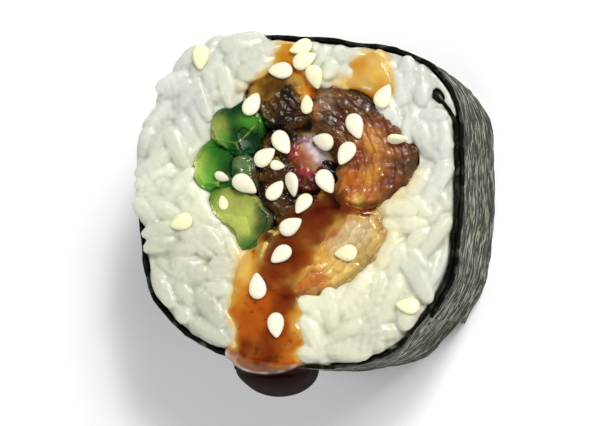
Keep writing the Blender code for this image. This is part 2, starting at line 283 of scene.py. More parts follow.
class Bench:
    """Where the nodes of one material are put together."""

    def __init__(self, name: str) -> None:
        """Starts a material of this name, with a Principled shader."""
        self.material = bpy.data.materials.new(name)
        self.material.use_nodes = True
        self.tree = self.material.node_tree
        self.shader = self.tree.nodes["Principled BSDF"]

    def plug(self, socket: bpy.types.NodeSocket, value: Any) -> None:
        """Links a wire to a socket, or sets the socket to a plain value."""
        if isinstance(value, Wire):
            self.tree.links.new(value.socket, socket)
        elif socket.type == "RGBA":
            socket.default_value = (*value[:3], 1.0)
        else:
            socket.default_value = value

    def node(self, kind: str, settings: dict[str, Any] | None = None,
             sockets: dict[Any, Any] | None = None, output: Any = 0) -> Wire:
        """Adds any node.

        Args:
            kind: The node's type.
            settings: Its properties, set first. "stops" holds a ramp's stops.
            sockets: Value or wire for each input, by name or number.
            output: Which output to return.

        Returns:
            The wire from that output.
        """
        made = self.tree.nodes.new(kind)
        for name, value in (settings or {}).items():
            if name == "stops":
                for index, (place, colour) in enumerate(value):
                    stops = made.color_ramp.elements
                    stop = stops[index] if index < 2 else stops.new(place)
                    stop.position = place
                    stop.color = (*colour, 1.0)
            else:
                setattr(made, name, value)
        for name, value in (sockets or {}).items():
            self.plug(made.inputs[name], value)
        return Wire(self, made.outputs[output])

    def attribute(self, name: str, output: str = "Fac") -> Wire:
        """The mesh's own attribute of this name, as a number, or as a Color or Vector."""
        return self.node("ShaderNodeAttribute", {"attribute_name": name}, None, output)

    def noise(self, where: Wire, scale: float, detail: float = 3.0, roughness: float = 0.55) -> Wire:
        """Noise of this scale at the given coordinates, from 0 to 1."""
        return self.node(
            "ShaderNodeTexNoise", {"noise_dimensions": "3D"},
            {"Vector": where, "Scale": scale, "Detail": detail, "Roughness": roughness},
        )

    def stretched(self, where: Wire, scale: Sequence[float], turn: float = 0.0) -> Wire:
        """Coordinates scaled by different amounts along each axis, and turned about Z."""
        return self.node(
            "ShaderNodeMapping", {"vector_type": "POINT"},
            {"Vector": where, "Rotation": (0.0, 0.0, turn), "Scale": tuple(scale)},
        )

    def place(self) -> Wire:
        """Object coordinates."""
        return self.node("ShaderNodeTexCoord", None, None, "Object")

    def bump(self, height: Wire, depth: float, strength: float = 1.0) -> Wire:
        """A normal raised by this height, whose full range is depth metres."""
        return self.node(
            "ShaderNodeBump", None, {"Height": height, "Distance": depth, "Strength": strength}, "Normal",
        )

    def dress(self, **sockets: Any) -> bpy.types.Material:
        """Plugs values or wires into the shader, by the sockets' names with _ for a space."""
        for name, value in sockets.items():
            self.plug(self.shader.inputs[name.replace("_", " ")], value)
        return self.material


# ------------------------------------------------------------------ finishes

@dataclass(frozen=True)
class RiceFinish:
    """Moist cooked rice: milky, with light that sinks in."""

    name: str = "cooked_rice"
    milkiness: float = 0.75
    depth: float = 0.8 * MM

    def material(self) -> bpy.types.Material:
        """Builds the material."""
        bench = Bench(self.name)
        where = bench.place()
        cloudy = bench.noise(where, 420.0, 2.0)
        tone = bench.attribute("tone")
        starchy = bench.noise(where, 1100.0, 3.0)
        mottle = (cloudy - 0.5) * 0.16 + (starchy - 0.5) * 0.22
        colour = bench.attribute("paint", "Color").times(0.90 + 0.14 * tone + mottle)
        pitted = bench.noise(where, 1500.0, 3.0)
        return bench.dress(
            Base_Color=colour,
            Roughness=bench.noise(where, 700.0).step(0.3, 0.7, 0.24, 0.46),
            Normal=bench.bump(pitted + cloudy, 0.10 * MM, 0.5),
            Coat_Weight=0.2,
            Coat_Roughness=0.12,
            Subsurface_Weight=self.milkiness,
            Subsurface_Radius=(1.0, 0.95, 0.75),
            Subsurface_Scale=self.depth,
            IOR=1.38,
        )


@dataclass(frozen=True)
class NoriFinish:
    """Dry roasted seaweed: black green, with a net of pale fibres that lie along the sheet, their paleness partly
    painted sheen.
    """

    name: str = "roasted_nori"
    # Pale fibres, partly painted sheen of light at a grazing angle.
    pale: Colour = srgb(140, 136, 100)
    middle: Colour = srgb(54, 54, 38)
    dark: Colour = srgb(16, 17, 10)
    cut_edge: Colour = srgb(9, 9, 4)

    def material(self) -> bpy.types.Material:
        """Builds the material from the sheet's own coordinates: along, up and across it."""
        bench = Bench(self.name)
        sheet = bench.attribute("sheet", "Vector")

        def flecks(along: float, up: float, turn: float, low: float) -> Wire:
            grain = bench.noise(bench.stretched(sheet, (along, up, 300.0), turn), 1.0, 3.0, 0.62)
            return grain.step(low, low + 0.09)

        net = bench.node(
            "ShaderNodeMath", {"operation": "MAXIMUM"},
            {0: flecks(400.0, 1050.0, 0.25, 0.53), 1: flecks(520.0, 1400.0, -0.3, 0.545)},
        )
        cloud = bench.noise(bench.stretched(sheet, (150.0, 330.0, 200.0)), 1.0, 3.0)
        grit = bench.noise(bench.stretched(sheet, (900.0, 1900.0, 900.0)), 1.0, 2.0)
        ground = (cloud.step(0.30, 0.70) * grit.step(0.30, 0.75)).mix(self.dark, self.middle)
        wall = (net * cloud.step(0.30, 0.6, 0.35, 0.95)).mix(ground, self.pale)
        return bench.dress(
            Base_Color=bench.attribute("outside").mix(self.cut_edge, wall),
            Roughness=net.step(0.0, 1.0, 0.55, 0.75),
            Specular_IOR_Level=0.07,
            Coat_Weight=net * cloud.step(0.30, 0.6, 0.35, 1.0),
            Coat_Roughness=0.32,
            Normal=bench.bump(net * 0.5 + cloud + grit * 0.3, 0.22 * MM, 0.9),
        )


class Cut(Enum):
    """How a filling looks where the knife went through."""

    FLAKY = "flaky"
    CRISP = "crisp"
    JELLY = "jelly"
    STICKY = "sticky"


@dataclass(frozen=True)
class FillingFinish:
    """A wet filling, painted on its mesh.

    Attributes:
        name: Name of the material.
        cut: How its cut looks.
        roughness: Mean roughness.
        fleshiness: How much light sinks in.
        contrast: Strength of its fine pattern.
        bumps: Height of the fine pattern, in mm.
        wet: Share of a thin clear coat over it.
    """

    name: str
    cut: Cut
    roughness: float
    fleshiness: float
    contrast: float
    bumps: float
    wet: float

    def material(self) -> bpy.types.Material:
        """Builds the material."""
        bench = Bench(self.name)
        where = bench.place()
        strands = {
            Cut.FLAKY: (2200.0, 900.0, 900.0), Cut.CRISP: (900.0, 900.0, 300.0),
            Cut.JELLY: (700.0, 900.0, 300.0), Cut.STICKY: (1100.0, 900.0, 900.0),
        }[self.cut]
        fibre = bench.noise(bench.stretched(where, strands, 0.6), 1.0, 4.0, 0.65)
        mottle = bench.noise(where, 1000.0, 3.0)
        shade = 1.0 + (fibre - 0.5) * (2.4 * self.contrast) + (mottle - 0.5) * (1.6 * self.contrast)
        return bench.dress(
            Base_Color=bench.attribute("paint", "Color").times(shade),
            Roughness=mottle.step(0.3, 0.7, self.roughness * 0.6, self.roughness * 1.5),
            Normal=bench.bump(fibre + mottle * 0.7, self.bumps * MM, 0.9),
            Subsurface_Weight=self.fleshiness,
            Subsurface_Radius=(1.0, 0.6, 0.3),
            Subsurface_Scale=0.6 * MM,
            Specular_IOR_Level=0.3,
            Coat_Weight=self.wet,
            Coat_Roughness=0.10,
        )


@dataclass(frozen=True)
class GlazeFinish:
    """Sweet soy glaze: painted from honey to tar, clearer where it lies thin."""

    name: str = "sweet_glaze"
    thinnest: float = 0.6

    def material(self) -> bpy.types.Material:
        """Builds the material."""
        bench = Bench(self.name)
        where = bench.place()
        swirl = bench.noise(where, 450.0, 3.0)
        body = bench.attribute("body")
        colour = bench.attribute("paint", "Color").times(0.84 + 0.32 * swirl)
        return bench.dress(
            Base_Color=colour,
            Alpha=body.step(0.0, 0.6, self.thinnest, 1.0),
            Roughness=swirl.step(0.3, 0.7, 0.10, 0.24),
            Normal=bench.bump(bench.noise(where, 900.0, 2.0), 0.06 * MM, 0.5),
            Subsurface_Weight=0.1,
            Subsurface_Radius=(1.0, 0.35, 0.1),
            Subsurface_Scale=0.8 * MM,
            Specular_IOR_Level=0.0,
            Coat_Weight=bench.attribute("shine") * 0.6,
            Coat_Roughness=0.07,
            IOR=1.42,
        )


@dataclass(frozen=True)
class SeedFinish:
    """Toasted hulled sesame: from cream to toasted, browner at the foot."""

    name: str = "toasted_sesame"
    cream: Colour = srgb(239, 233, 208)
    toasted: Colour = srgb(240, 236, 190)
    # Brown of glaze soaked into a seed's foot, also laid faintly as painted shade where the foot rests on bare food.
    soaked: Colour = srgb(206, 158, 98)

    def material(self) -> bpy.types.Material:
        """Builds the material."""
        bench = Bench(self.name)
        where = bench.place()
        tone = bench.attribute("tone")
        grain = bench.noise(where, 1500.0, 2.0)
        dry = (tone + (grain - 0.5) * 0.5).step(0.1, 1.1).mix(self.cream, self.toasted)
        colour = bench.attribute("foot").mix(dry, self.soaked)
        return bench.dress(
            Base_Color=colour,
            Roughness=0.42,
            Normal=bench.bump(grain, 0.10 * MM, 0.7),
            Subsurface_Weight=0.18,
            Subsurface_Radius=(1.0, 0.8, 0.5),
            Subsurface_Scale=0.5 * MM,
        )


# ------------------------------------------------------------------ the roll and its face

@dataclass
class FaceGrid:
    """Values on a square grid over the cut face.

    Attributes:
        values: One value for each cell, indexed by column (x) and row (y).
        reach: Half the width of the grid, in mm.
        pitch: Size of a cell, in mm.
    """

    values: np.ndarray
    reach: float = 28.0
    pitch: float = 0.25

    @classmethod
    def lines(cls) -> np.ndarray:
        """The x, or y, of each column, or row, in mm."""
        return np.arange(-cls.reach, cls.reach + cls.pitch / 2.0, cls.pitch)

    def sample(self, spots: np.ndarray) -> np.ndarray:
        """The value at each spot, between the cells."""
        at = np.clip((spots[:, :2] + self.reach) / self.pitch, 0.0, len(self.values) - 1.001)
        low = at.astype(int)
        part = at - low
        result = np.zeros(len(spots))
        for dx in (0, 1):
            for dy in (0, 1):
                weight = np.abs(1 - dx - part[:, 0]) * np.abs(1 - dy - part[:, 1])
                result += weight * self.values[low[:, 0] + dx, low[:, 1] + dy]
        return result

    def slope(self, spots: np.ndarray) -> np.ndarray:
        """Direction in which the value rises, as unit rows."""
        step = 0.3
        rise = np.stack([
            self.sample(spots[:, :2] + way) - self.sample(spots[:, :2] - way)
            for way in (np.array([step, 0.0]), np.array([0.0, step]))
        ], axis=1)
        return rise / (np.linalg.norm(rise, axis=1)[:, None] + 1e-6)

    def blurred(self, spread: float) -> "FaceGrid":
        """The grid smoothed by a bell of this spread in mm."""
        count = int(3.0 * spread / self.pitch)
        bell = np.exp(-0.5 * (np.arange(-count, count + 1) * self.pitch / spread) ** 2)
        bell /= bell.sum()
        values = self.values
        for axis in (0, 1):
            padded = np.pad(values, [(count, count) if k == axis else (0, 0) for k in (0, 1)], "edge")
            values = sum(
                weight * np.take(padded, np.arange(step, step + values.shape[axis]), axis=axis)
                for step, weight in enumerate(bell)
            )
        return FaceGrid(values, self.reach, self.pitch)

    @classmethod
    def room_in(cls, inside: np.ndarray) -> "FaceGrid":
        """Distance from every cell to the border of a shape, in mm, negative outside it.

        Args:
            inside: True for the cells in the shape.

        Returns:
            The grid of distances.
        """
        rim = inside.copy()
        rim[1:-1, 1:-1] &= ~(inside[:-2, 1:-1] & inside[2:, 1:-1] & inside[1:-1, :-2] & inside[1:-1, 2:])
        lines = cls.lines()
        columns, rows = np.nonzero(rim)
        far = np.empty(inside.shape)
        for i, x in enumerate(lines):
            across = (x - lines[columns]) ** 2
            far[i] = np.sqrt((across[None] + (lines[:, None] - lines[rows][None]) ** 2).min(axis=1))
        return cls(np.where(inside, far, -far))


class Side(Enum):
    """The two cut faces of the piece."""

    TOP = 1
    BASE = -1


@dataclass
class Roll:
    """Where the roll lies in the frame, and the helpers that read its solids."""

    low: Vector
    high: Vector
    axis: Vector
    cut: float
    nodes: dict[str, bpy.types.Object] = field(default_factory=dict)

    AXIS_IN_NORI = (0.22 * MM, 0.11 * MM)

    @classmethod
    def from_frame(cls, frame: dict[str, Any]) -> "Roll":
        """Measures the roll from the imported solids."""
        low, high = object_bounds()
        nori_low, nori_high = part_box("nori_sheet")
        middle = (nori_low + nori_high) / 2.0
        axis = Vector((middle.x + cls.AXIS_IN_NORI[0], middle.y + cls.AXIS_IN_NORI[1], 0.0))
        rice_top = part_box("rice")[1].z
        return cls(low, high, axis, rice_top - 0.35 * MM, frame["nodes"])

    def to_face(self, points: np.ndarray) -> np.ndarray:
        """Points in metres as face millimetres."""
        return (points - np.array(self.axis)) / MM

    def to_world(self, points: np.ndarray) -> np.ndarray:
        """Face millimetres as points in metres."""
        return points * MM + np.array(self.axis)

    @property
    def cut_mm(self) -> float:
        """Height of the upper cut, in mm."""
        return self.cut / MM

    def merged_copy(self, node: str, name: str) -> bpy.types.Object:
        """A copy of a CAD solid with its loose triangles joined.

        Args:
            node: The CAD node.
            name: Name of the new object.

        Returns:
            The new object, at the origin.
        """
        builder = bmesh.new()
        builder.from_mesh(self.nodes[node].data)
        bmesh.ops.remove_doubles(builder, verts=builder.verts, dist=0.002 * MM)
        return new_object(name, builder)

    def heights_of(self, mesh: bpy.types.Mesh, side: Side) -> FaceGrid:
        """A quick grid of heights, in mm, from the points of one fine mesh.

        Args:
            mesh: A mesh with points no further apart than a cell.
            side: The face that is looked at.

        Returns:
            The grid. A cell with no point in it takes the mean of those round it.
        """
        face = self.to_face(points_of(mesh))
        count = len(FaceGrid.lines())
        cell = np.rint((face[:, :2] + FaceGrid.reach) / FaceGrid.pitch).astype(int)
        values = np.full(count * count, -np.inf)
        np.maximum.at(values, cell[:, 0] * count + cell[:, 1], face[:, 2] * side.value)
        values = values.reshape(count, count)
        known = np.isfinite(values)
        spread = FaceGrid(known.astype(float)).blurred(0.3).values
        filled = FaceGrid(np.where(known, values, 0.0)).blurred(0.3).values / np.maximum(spread, 1e-6)
        return FaceGrid(np.where(known, values, filled) * side.value)

    def heights(self, pieces: Iterable[bpy.types.Object], side: Side = Side.TOP) -> FaceGrid:
        """How high the pieces reach over the face, in mm, seen from above or from below.

        Args:
            pieces: Objects to look down on.
            side: The face that is looked at.

        Returns:
            The grid of heights. A cell with nothing under it holds the far side's height.
        """
        bpy.context.view_layer.update()
        graph = bpy.context.evaluated_depsgraph_get()
        trees = [BVHTree.FromObject(piece, graph) for piece in pieces]
        lines = FaceGrid.lines()
        sign = side.value
        start = self.high.z + 5.0 * MM if side is Side.TOP else self.low.z - 5.0 * MM
        beyond = 0.0 if side is Side.TOP else self.cut_mm
        values = np.full((len(lines), len(lines)), beyond)
        for i, x in enumerate(lines):
            for j, y in enumerate(lines):
                if math.hypot(x, y) > FaceGrid.reach:
                    continue
                origin = Vector((x * MM + self.axis.x, y * MM + self.axis.y, start))
                for tree in trees:
                    hit = tree.ray_cast(origin, Vector((0.0, 0.0, -sign)))[0]
                    if hit is not None:
                        best = max if side is Side.TOP else min
                        values[i, j] = best(values[i, j], hit.z / MM)
        return FaceGrid(values)


def new_object(name: str, builder: bmesh.types.BMesh) -> bpy.types.Object:
    """Turns a bmesh into an object in the scene."""
    mesh = bpy.data.meshes.new(name)
    builder.to_mesh(mesh)
    builder.free()
    made = bpy.data.objects.new(name, mesh)
    bpy.context.scene.collection.objects.link(made)
    return made


def settle_modifiers(piece: bpy.types.Object) -> None:
    """Replaces the object's mesh by what its modifiers make of it, and removes them."""
    bpy.context.view_layer.update()
    graph = bpy.context.evaluated_depsgraph_get()
    mesh = bpy.data.meshes.new_from_object(piece.evaluated_get(graph), depsgraph=graph)
    piece.modifiers.clear()
    old = piece.data
    piece.data = mesh
    mesh.name = piece.name
    bpy.data.meshes.remove(old)


def remesh(piece: bpy.types.Object, voxel: float, smoothing: int = 0) -> None:
    """Gives the piece an even mesh of this voxel size in mm, smoothed this many times."""
    blocks = piece.modifiers.new("even", "REMESH")
    blocks.mode = "VOXEL"
    blocks.voxel_size = voxel * MM
    blocks.adaptivity = 0.0
    if smoothing:
        ironing = piece.modifiers.new("ironed", "SMOOTH")
        ironing.factor = 0.5
        ironing.iterations = smoothing
    settle_modifiers(piece)


def points_of(mesh: bpy.types.Mesh) -> np.ndarray:
    """The mesh's vertices as rows, in metres."""
    flat = np.empty(len(mesh.vertices) * 3)
    mesh.vertices.foreach_get("co", flat)
    return flat.reshape(-1, 3)


def move_points(mesh: bpy.types.Mesh, points: np.ndarray) -> None:
    """Puts the mesh's vertices at these points, in metres."""
    mesh.vertices.foreach_set("co", points.ravel())
    mesh.update()


def normals_of(mesh: bpy.types.Mesh) -> np.ndarray:
    """The vertex normals as rows."""
    flat = np.empty(len(mesh.vertices) * 3)
    mesh.vertex_normals.foreach_get("vector", flat)
    return flat.reshape(-1, 3)


def store(mesh: bpy.types.Mesh, name: str, kind: str, values: np.ndarray) -> None:
    """Stores an attribute on the mesh's vertices.

    Args:
        mesh: The mesh.
        name: Name that materials and node trees read.
        kind: FLOAT, INT, FLOAT_VECTOR or FLOAT_COLOR.
        values: One row for each vertex.
    """
    layer = mesh.attributes.get(name) or mesh.attributes.new(name, kind, "POINT")
    key = {"FLOAT_VECTOR": "vector", "FLOAT_COLOR": "color"}.get(kind, "value")
    if kind == "FLOAT_COLOR":
        values = np.column_stack([values, np.ones(len(values))])
    layer.data.foreach_set(key, np.ascontiguousarray(values).ravel())


def hand_over(piece: bpy.types.Object, replaced: Sequence[str] = ()) -> None:
    """Tells the frame what the finished piece is.

    Args:
        piece: The finished object.
        replaced: CAD nodes that it stands for.
    """
    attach(piece, "root")
    if replaced:
        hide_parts(*replaced)
    LOG.info("%s: %d vertices, %d faces", piece.name, len(piece.data.vertices), len(piece.data.polygons))


# ------------------------------------------------------------------ scattering

@dataclass
class Scatter:
    """Geometry Nodes that set one of several shapes on every point, turned and sized.

    Attributes:
        name: Name of the piece it makes.
        shapes: The objects to choose from. They are removed when the piece is made.
        finish: Material of the piece.
    """

    name: str
    shapes: list[bpy.types.Object]
    finish: bpy.types.Material

    def _tree(self) -> tuple[bpy.types.NodeTree, dict[str, str]]:
        tree = bpy.data.node_groups.new(self.name + "_scatter", "GeometryNodeTree")
        interface = tree.interface
        interface.new_socket("Geometry", in_out="INPUT", socket_type="NodeSocketGeometry")
        keys = {}
        for label, kind in (("Shapes", "Collection"), ("Finish", "Material"), ("Size", "Float")):
            made = interface.new_socket(label, in_out="INPUT", socket_type="NodeSocket" + kind)
            keys[label] = made.identifier
        interface.new_socket("Geometry", in_out="OUTPUT", socket_type="NodeSocketGeometry")
        nodes, link = tree.nodes, tree.links.new

        def attribute(label: str, kind: str) -> bpy.types.NodeSocket:
            reader = nodes.new("GeometryNodeInputNamedAttribute")
            reader.data_type = kind
            reader.inputs["Name"].default_value = label
            return reader.outputs["Attribute"]

        given = nodes.new("NodeGroupInput")
        shapes = nodes.new("GeometryNodeCollectionInfo")
        shapes.inputs["Separate Children"].default_value = True
        shapes.inputs["Reset Children"].default_value = True
        link(given.outputs["Shapes"], shapes.inputs["Collection"])
        turn = nodes.new("FunctionNodeEulerToRotation")
        link(attribute("turn", "FLOAT_VECTOR"), turn.inputs[0])
        size = nodes.new("ShaderNodeVectorMath")
        size.operation = "SCALE"
        link(attribute("size", "FLOAT_VECTOR"), size.inputs[0])
        link(given.outputs["Size"], size.inputs["Scale"])
        place = nodes.new("GeometryNodeInstanceOnPoints")
        place.inputs["Pick Instance"].default_value = True
        link(given.outputs["Geometry"], place.inputs["Points"])
        link(shapes.outputs[0], place.inputs["Instance"])
        link(attribute("pick", "INT"), place.inputs["Instance Index"])
        link(turn.outputs[0], place.inputs["Rotation"])
        link(size.outputs[0], place.inputs["Scale"])
        real = nodes.new("GeometryNodeRealizeInstances")
        link(place.outputs[0], real.inputs[0])
        smooth = nodes.new("GeometryNodeSetShadeSmooth")
        link(real.outputs[0], smooth.inputs[0])
        coat = nodes.new("GeometryNodeSetMaterial")
        link(smooth.outputs[0], coat.inputs[0])
        link(given.outputs["Finish"], coat.inputs["Material"])
        taken = nodes.new("NodeGroupOutput")
        link(coat.outputs[0], taken.inputs[0])
        return tree, keys

    def build(self, points: np.ndarray, turns: np.ndarray, sizes: np.ndarray,
              picks: np.ndarray, tones: np.ndarray) -> bpy.types.Object:
        """Makes the piece.

        Args:
            points: Where each copy goes, in metres.
            turns: Euler angles of each copy.
            sizes: Scale of each copy along its own axes.
            picks: Which shape each copy takes.
            tones: A number from 0 to 1 that tints each copy.

        Returns:
            One object that holds every copy as plain mesh.
        """
        box = bpy.data.collections.new(self.name + "_shapes")
        bpy.context.scene.collection.children.link(box)
        for shape in self.shapes:
            bpy.context.scene.collection.objects.unlink(shape)
            box.objects.link(shape)
        mesh = bpy.data.meshes.new(self.name)
        mesh.from_pydata([tuple(point) for point in points], [], [])
        piece = bpy.data.objects.new(self.name, mesh)
        bpy.context.scene.collection.objects.link(piece)
        store(mesh, "turn", "FLOAT_VECTOR", turns)
        store(mesh, "size", "FLOAT_VECTOR", sizes)
        store(mesh, "pick", "INT", picks.astype(np.int32))
        store(mesh, "tone", "FLOAT", tones)
        tree, keys = self._tree()
        modifier = piece.modifiers.new("scatter", "NODES")
        modifier.node_group = tree
        modifier[keys["Shapes"]] = box
        modifier[keys["Finish"]] = self.finish
        modifier[keys["Size"]] = 1.0
        settle_modifiers(piece)
        for label in ("turn", "size", "pick"):
            layer = piece.data.attributes.get(label)
            if layer is not None:
                piece.data.attributes.remove(layer)
        for shape in self.shapes:
            bpy.data.objects.remove(shape)
        bpy.data.collections.remove(box)
        bpy.data.node_groups.remove(tree)
        return piece


def lathe_shape(name: str, rings: int, sides: int, outline: Any) -> bpy.types.Object:
    """A closed shape along X, made of rings between two end points.

    Args:
        name: Name of the object.
        rings: Rings between the ends.
        sides: Points in each ring.
        outline: Function of the share along X (0 to 1) and the angle, giving x, y and z.

    Returns:
        The object, one metre long or as the outline says.
    """
    builder = bmesh.new()
    tail = builder.verts.new(outline(0.0, 0.0))
    tip = builder.verts.new(outline(1.0, 0.0))
    loops = []
    for ring in range(1, rings + 1):
        share = 0.5 - 0.5 * math.cos(math.pi * ring / (rings + 1))
        turns = (2.0 * math.pi * k / sides for k in range(sides))
        loops.append([builder.verts.new(outline(share, turn)) for turn in turns])
    for k in range(sides):
        after = (k + 1) % sides
        builder.faces.new((tail, loops[0][after], loops[0][k]))
        builder.faces.new((tip, loops[-1][k], loops[-1][after]))
        for lower, upper in zip(loops, loops[1:]):
            builder.faces.new((lower[k], lower[after], upper[after], upper[k]))
    bmesh.ops.recalc_face_normals(builder, faces=builder.faces)
    return new_object(name, builder)


# ------------------------------------------------------------------ glaze field

@dataclass(frozen=True)
class Pool:
    """A round or long patch of glaze on the cut face.

    Attributes:
        x: Middle, to the right of the axis, in mm.
        y: Middle, up the face, in mm.
        long: Half length, in mm.
        wide: Half width, in mm.
        turn: Direction of its length, in degrees.
        depth: Thickness at the middle, in mm.
    """

    x: float
    y: float
    long: float
    wide: float
    turn: float
    depth: float

    def thickness(self, spots: np.ndarray) -> np.ndarray:
        """How thick the glaze lies at each spot, in mm."""
        angle = math.radians(self.turn)
        dx, dy = spots[:, 0] - self.x, spots[:, 1] - self.y
        along = (dx * math.cos(angle) + dy * math.sin(angle)) / self.long
        across = (dy * math.cos(angle) - dx * math.sin(angle)) / self.wide
        return self.depth * np.clip(1.0 - along ** 2 - across ** 2, 0.0, None) ** 0.8


POOLS = (
    Pool(-5.4, -10.2, 4.4, 3.9, 70.0, 0.8),      # the streak, from the middle to the rim
    Pool(-4.7, -14.4, 5.2, 5.3, 90.0, 1.0),
    Pool(-4.4, -18.6, 5.0, 5.2, 90.0, 1.0),
    Pool(-4.4, -21.6, 5.0, 2.6, 0.0, 0.9),
    Pool(-1.6, -8.0, 5.6, 3.7, 50.0, 0.9),       # red, over the left of the lower eel
    Pool(1.9, -2.4, 5.6, 2.6, 12.0, 0.9),        # red, in the middle
    Pool(2.0, -5.4, 2.6, 1.7, 45.0, 0.5),
    Pool(4.4, 0.0, 2.8, 2.0, 20.0, 0.7),
    Pool(6.8, -1.5, 4.2, 1.1, -12.0, 0.6),       # red, along the top of the lower eel
    Pool(-3.9, -4.9, 2.2, 1.1, 20.0, 0.5),       # dark dip beside the cucumber: dark glaze with the shade of the gap painted in
    Pool(0.3, 9.7, 3.2, 1.5, 0.0, 0.6),          # dark brown glaze between the strips, with the shade of the gap painted in
    Pool(4.6, 7.8, 2.0, 3.0, 0.0, 0.4),
    Pool(-3.4, 3.4, 2.6, 3.0, 0.0, 0.35),
    Pool(1.2, 5.8, 2.8, 2.8, 0.0, 0.38),         # over the strip in the middle
    Pool(-0.8, 18.8, 3.9, 3.1, 80.0, 0.9),       # honey, at the top
    Pool(-4.2, 15.4, 3.2, 1.9, 30.0, 0.8),
    Pool(1.0, 14.6, 2.4, 1.3, 80.0, 0.5),
    Pool(9.6, 17.4, 3.3, 2.7, 20.0, 0.6),        # honey drop, at the upper right
    Pool(10.9, 15.4, 2.3, 2.6, 0.0, 0.6),
    Pool(7.4, 15.6, 2.1, 1.3, 30.0, 0.4),
    Pool(8.5, 14.9, 1.7, 1.3, 0.0, 0.42),
)


def glaze_thickness(spots: np.ndarray) -> np.ndarray:
    """Thickness of the glaze at each spot of the face, in mm, with ragged borders."""
    strayed = spots[:, :2].copy()
    for axis, seed in ((0, 41.0), (1, 51.0)):
        strayed[:, axis] += 0.7 * wander(spots[:, :2], 2.4, seed) + 0.3 * wander(spots[:, :2], 0.9, seed)
    layers = np.stack([pool.thickness(strayed) for pool in POOLS])
    # Neighbouring pools run together, with no crease between them.
    return (layers ** 4).sum(axis=0) ** 0.25


# ------------------------------------------------------------------ rice

RICE_DABS = (
    Dab(-15.0, 13.0, 7.0, Hue.RICE_COOL), Dab(-14.0, 2.0, 5.0, Hue.RICE_GREENISH),
    Dab(16.0, 14.0, 7.0, Hue.RICE_COOL), Dab(17.5, -10.0, 5.0, Hue.RICE_COOL),
    Dab(18.6, 2.6, 3.0, Hue.RICE_COOL), Dab(11.0, -18.2, 3.0, Hue.RICE_SHADE),
    Dab(-15.0, -7.0, 6.0, Hue.RICE_SHADE), Dab(-11.0, -14.0, 5.0, Hue.RICE_SHADE), Dab(10.0, -14.0, 9.0, Hue.RICE_WARM),
    Dab(15.0, -5.0, 5.0, Hue.RICE_WARM), Dab(-9.0, -5.0, 3.5, Hue.RICE_GREENISH),
    Dab(-9.4, 14.6, 3.0, Hue.RICE_GREENISH), Dab(-16.4, 6.0, 3.0, Hue.RICE_GREENISH),
    Dab(13.0, 0.6, 1.5, Hue.RICE_TINGED), Dab(15.6, 2.8, 1.4, Hue.RICE_TINGED),
    Dab(10.4, -1.4, 1.3, Hue.RICE_STAINED), Dab(12.2, -5.0, 1.6, Hue.RICE_TINGED),
    Dab(10.6, -8.2, 1.3, Hue.RICE_TINGED), Dab(-7.9, -7.0, 1.5, Hue.RICE_STAINED),
    Dab(6.0, 14.4, 1.6, Hue.RICE_STAINED), Dab(-7.4, 15.0, 1.3, Hue.RICE_TINGED),
)


@dataclass(frozen=True)
class GrainLayer:
    """One layer of grains.

    Attributes:
        depth: How far the tops lie under the cut, in mm.
        squeeze: Share of their width that neighbours keep between each other.
    """

    depth: float
    squeeze: float


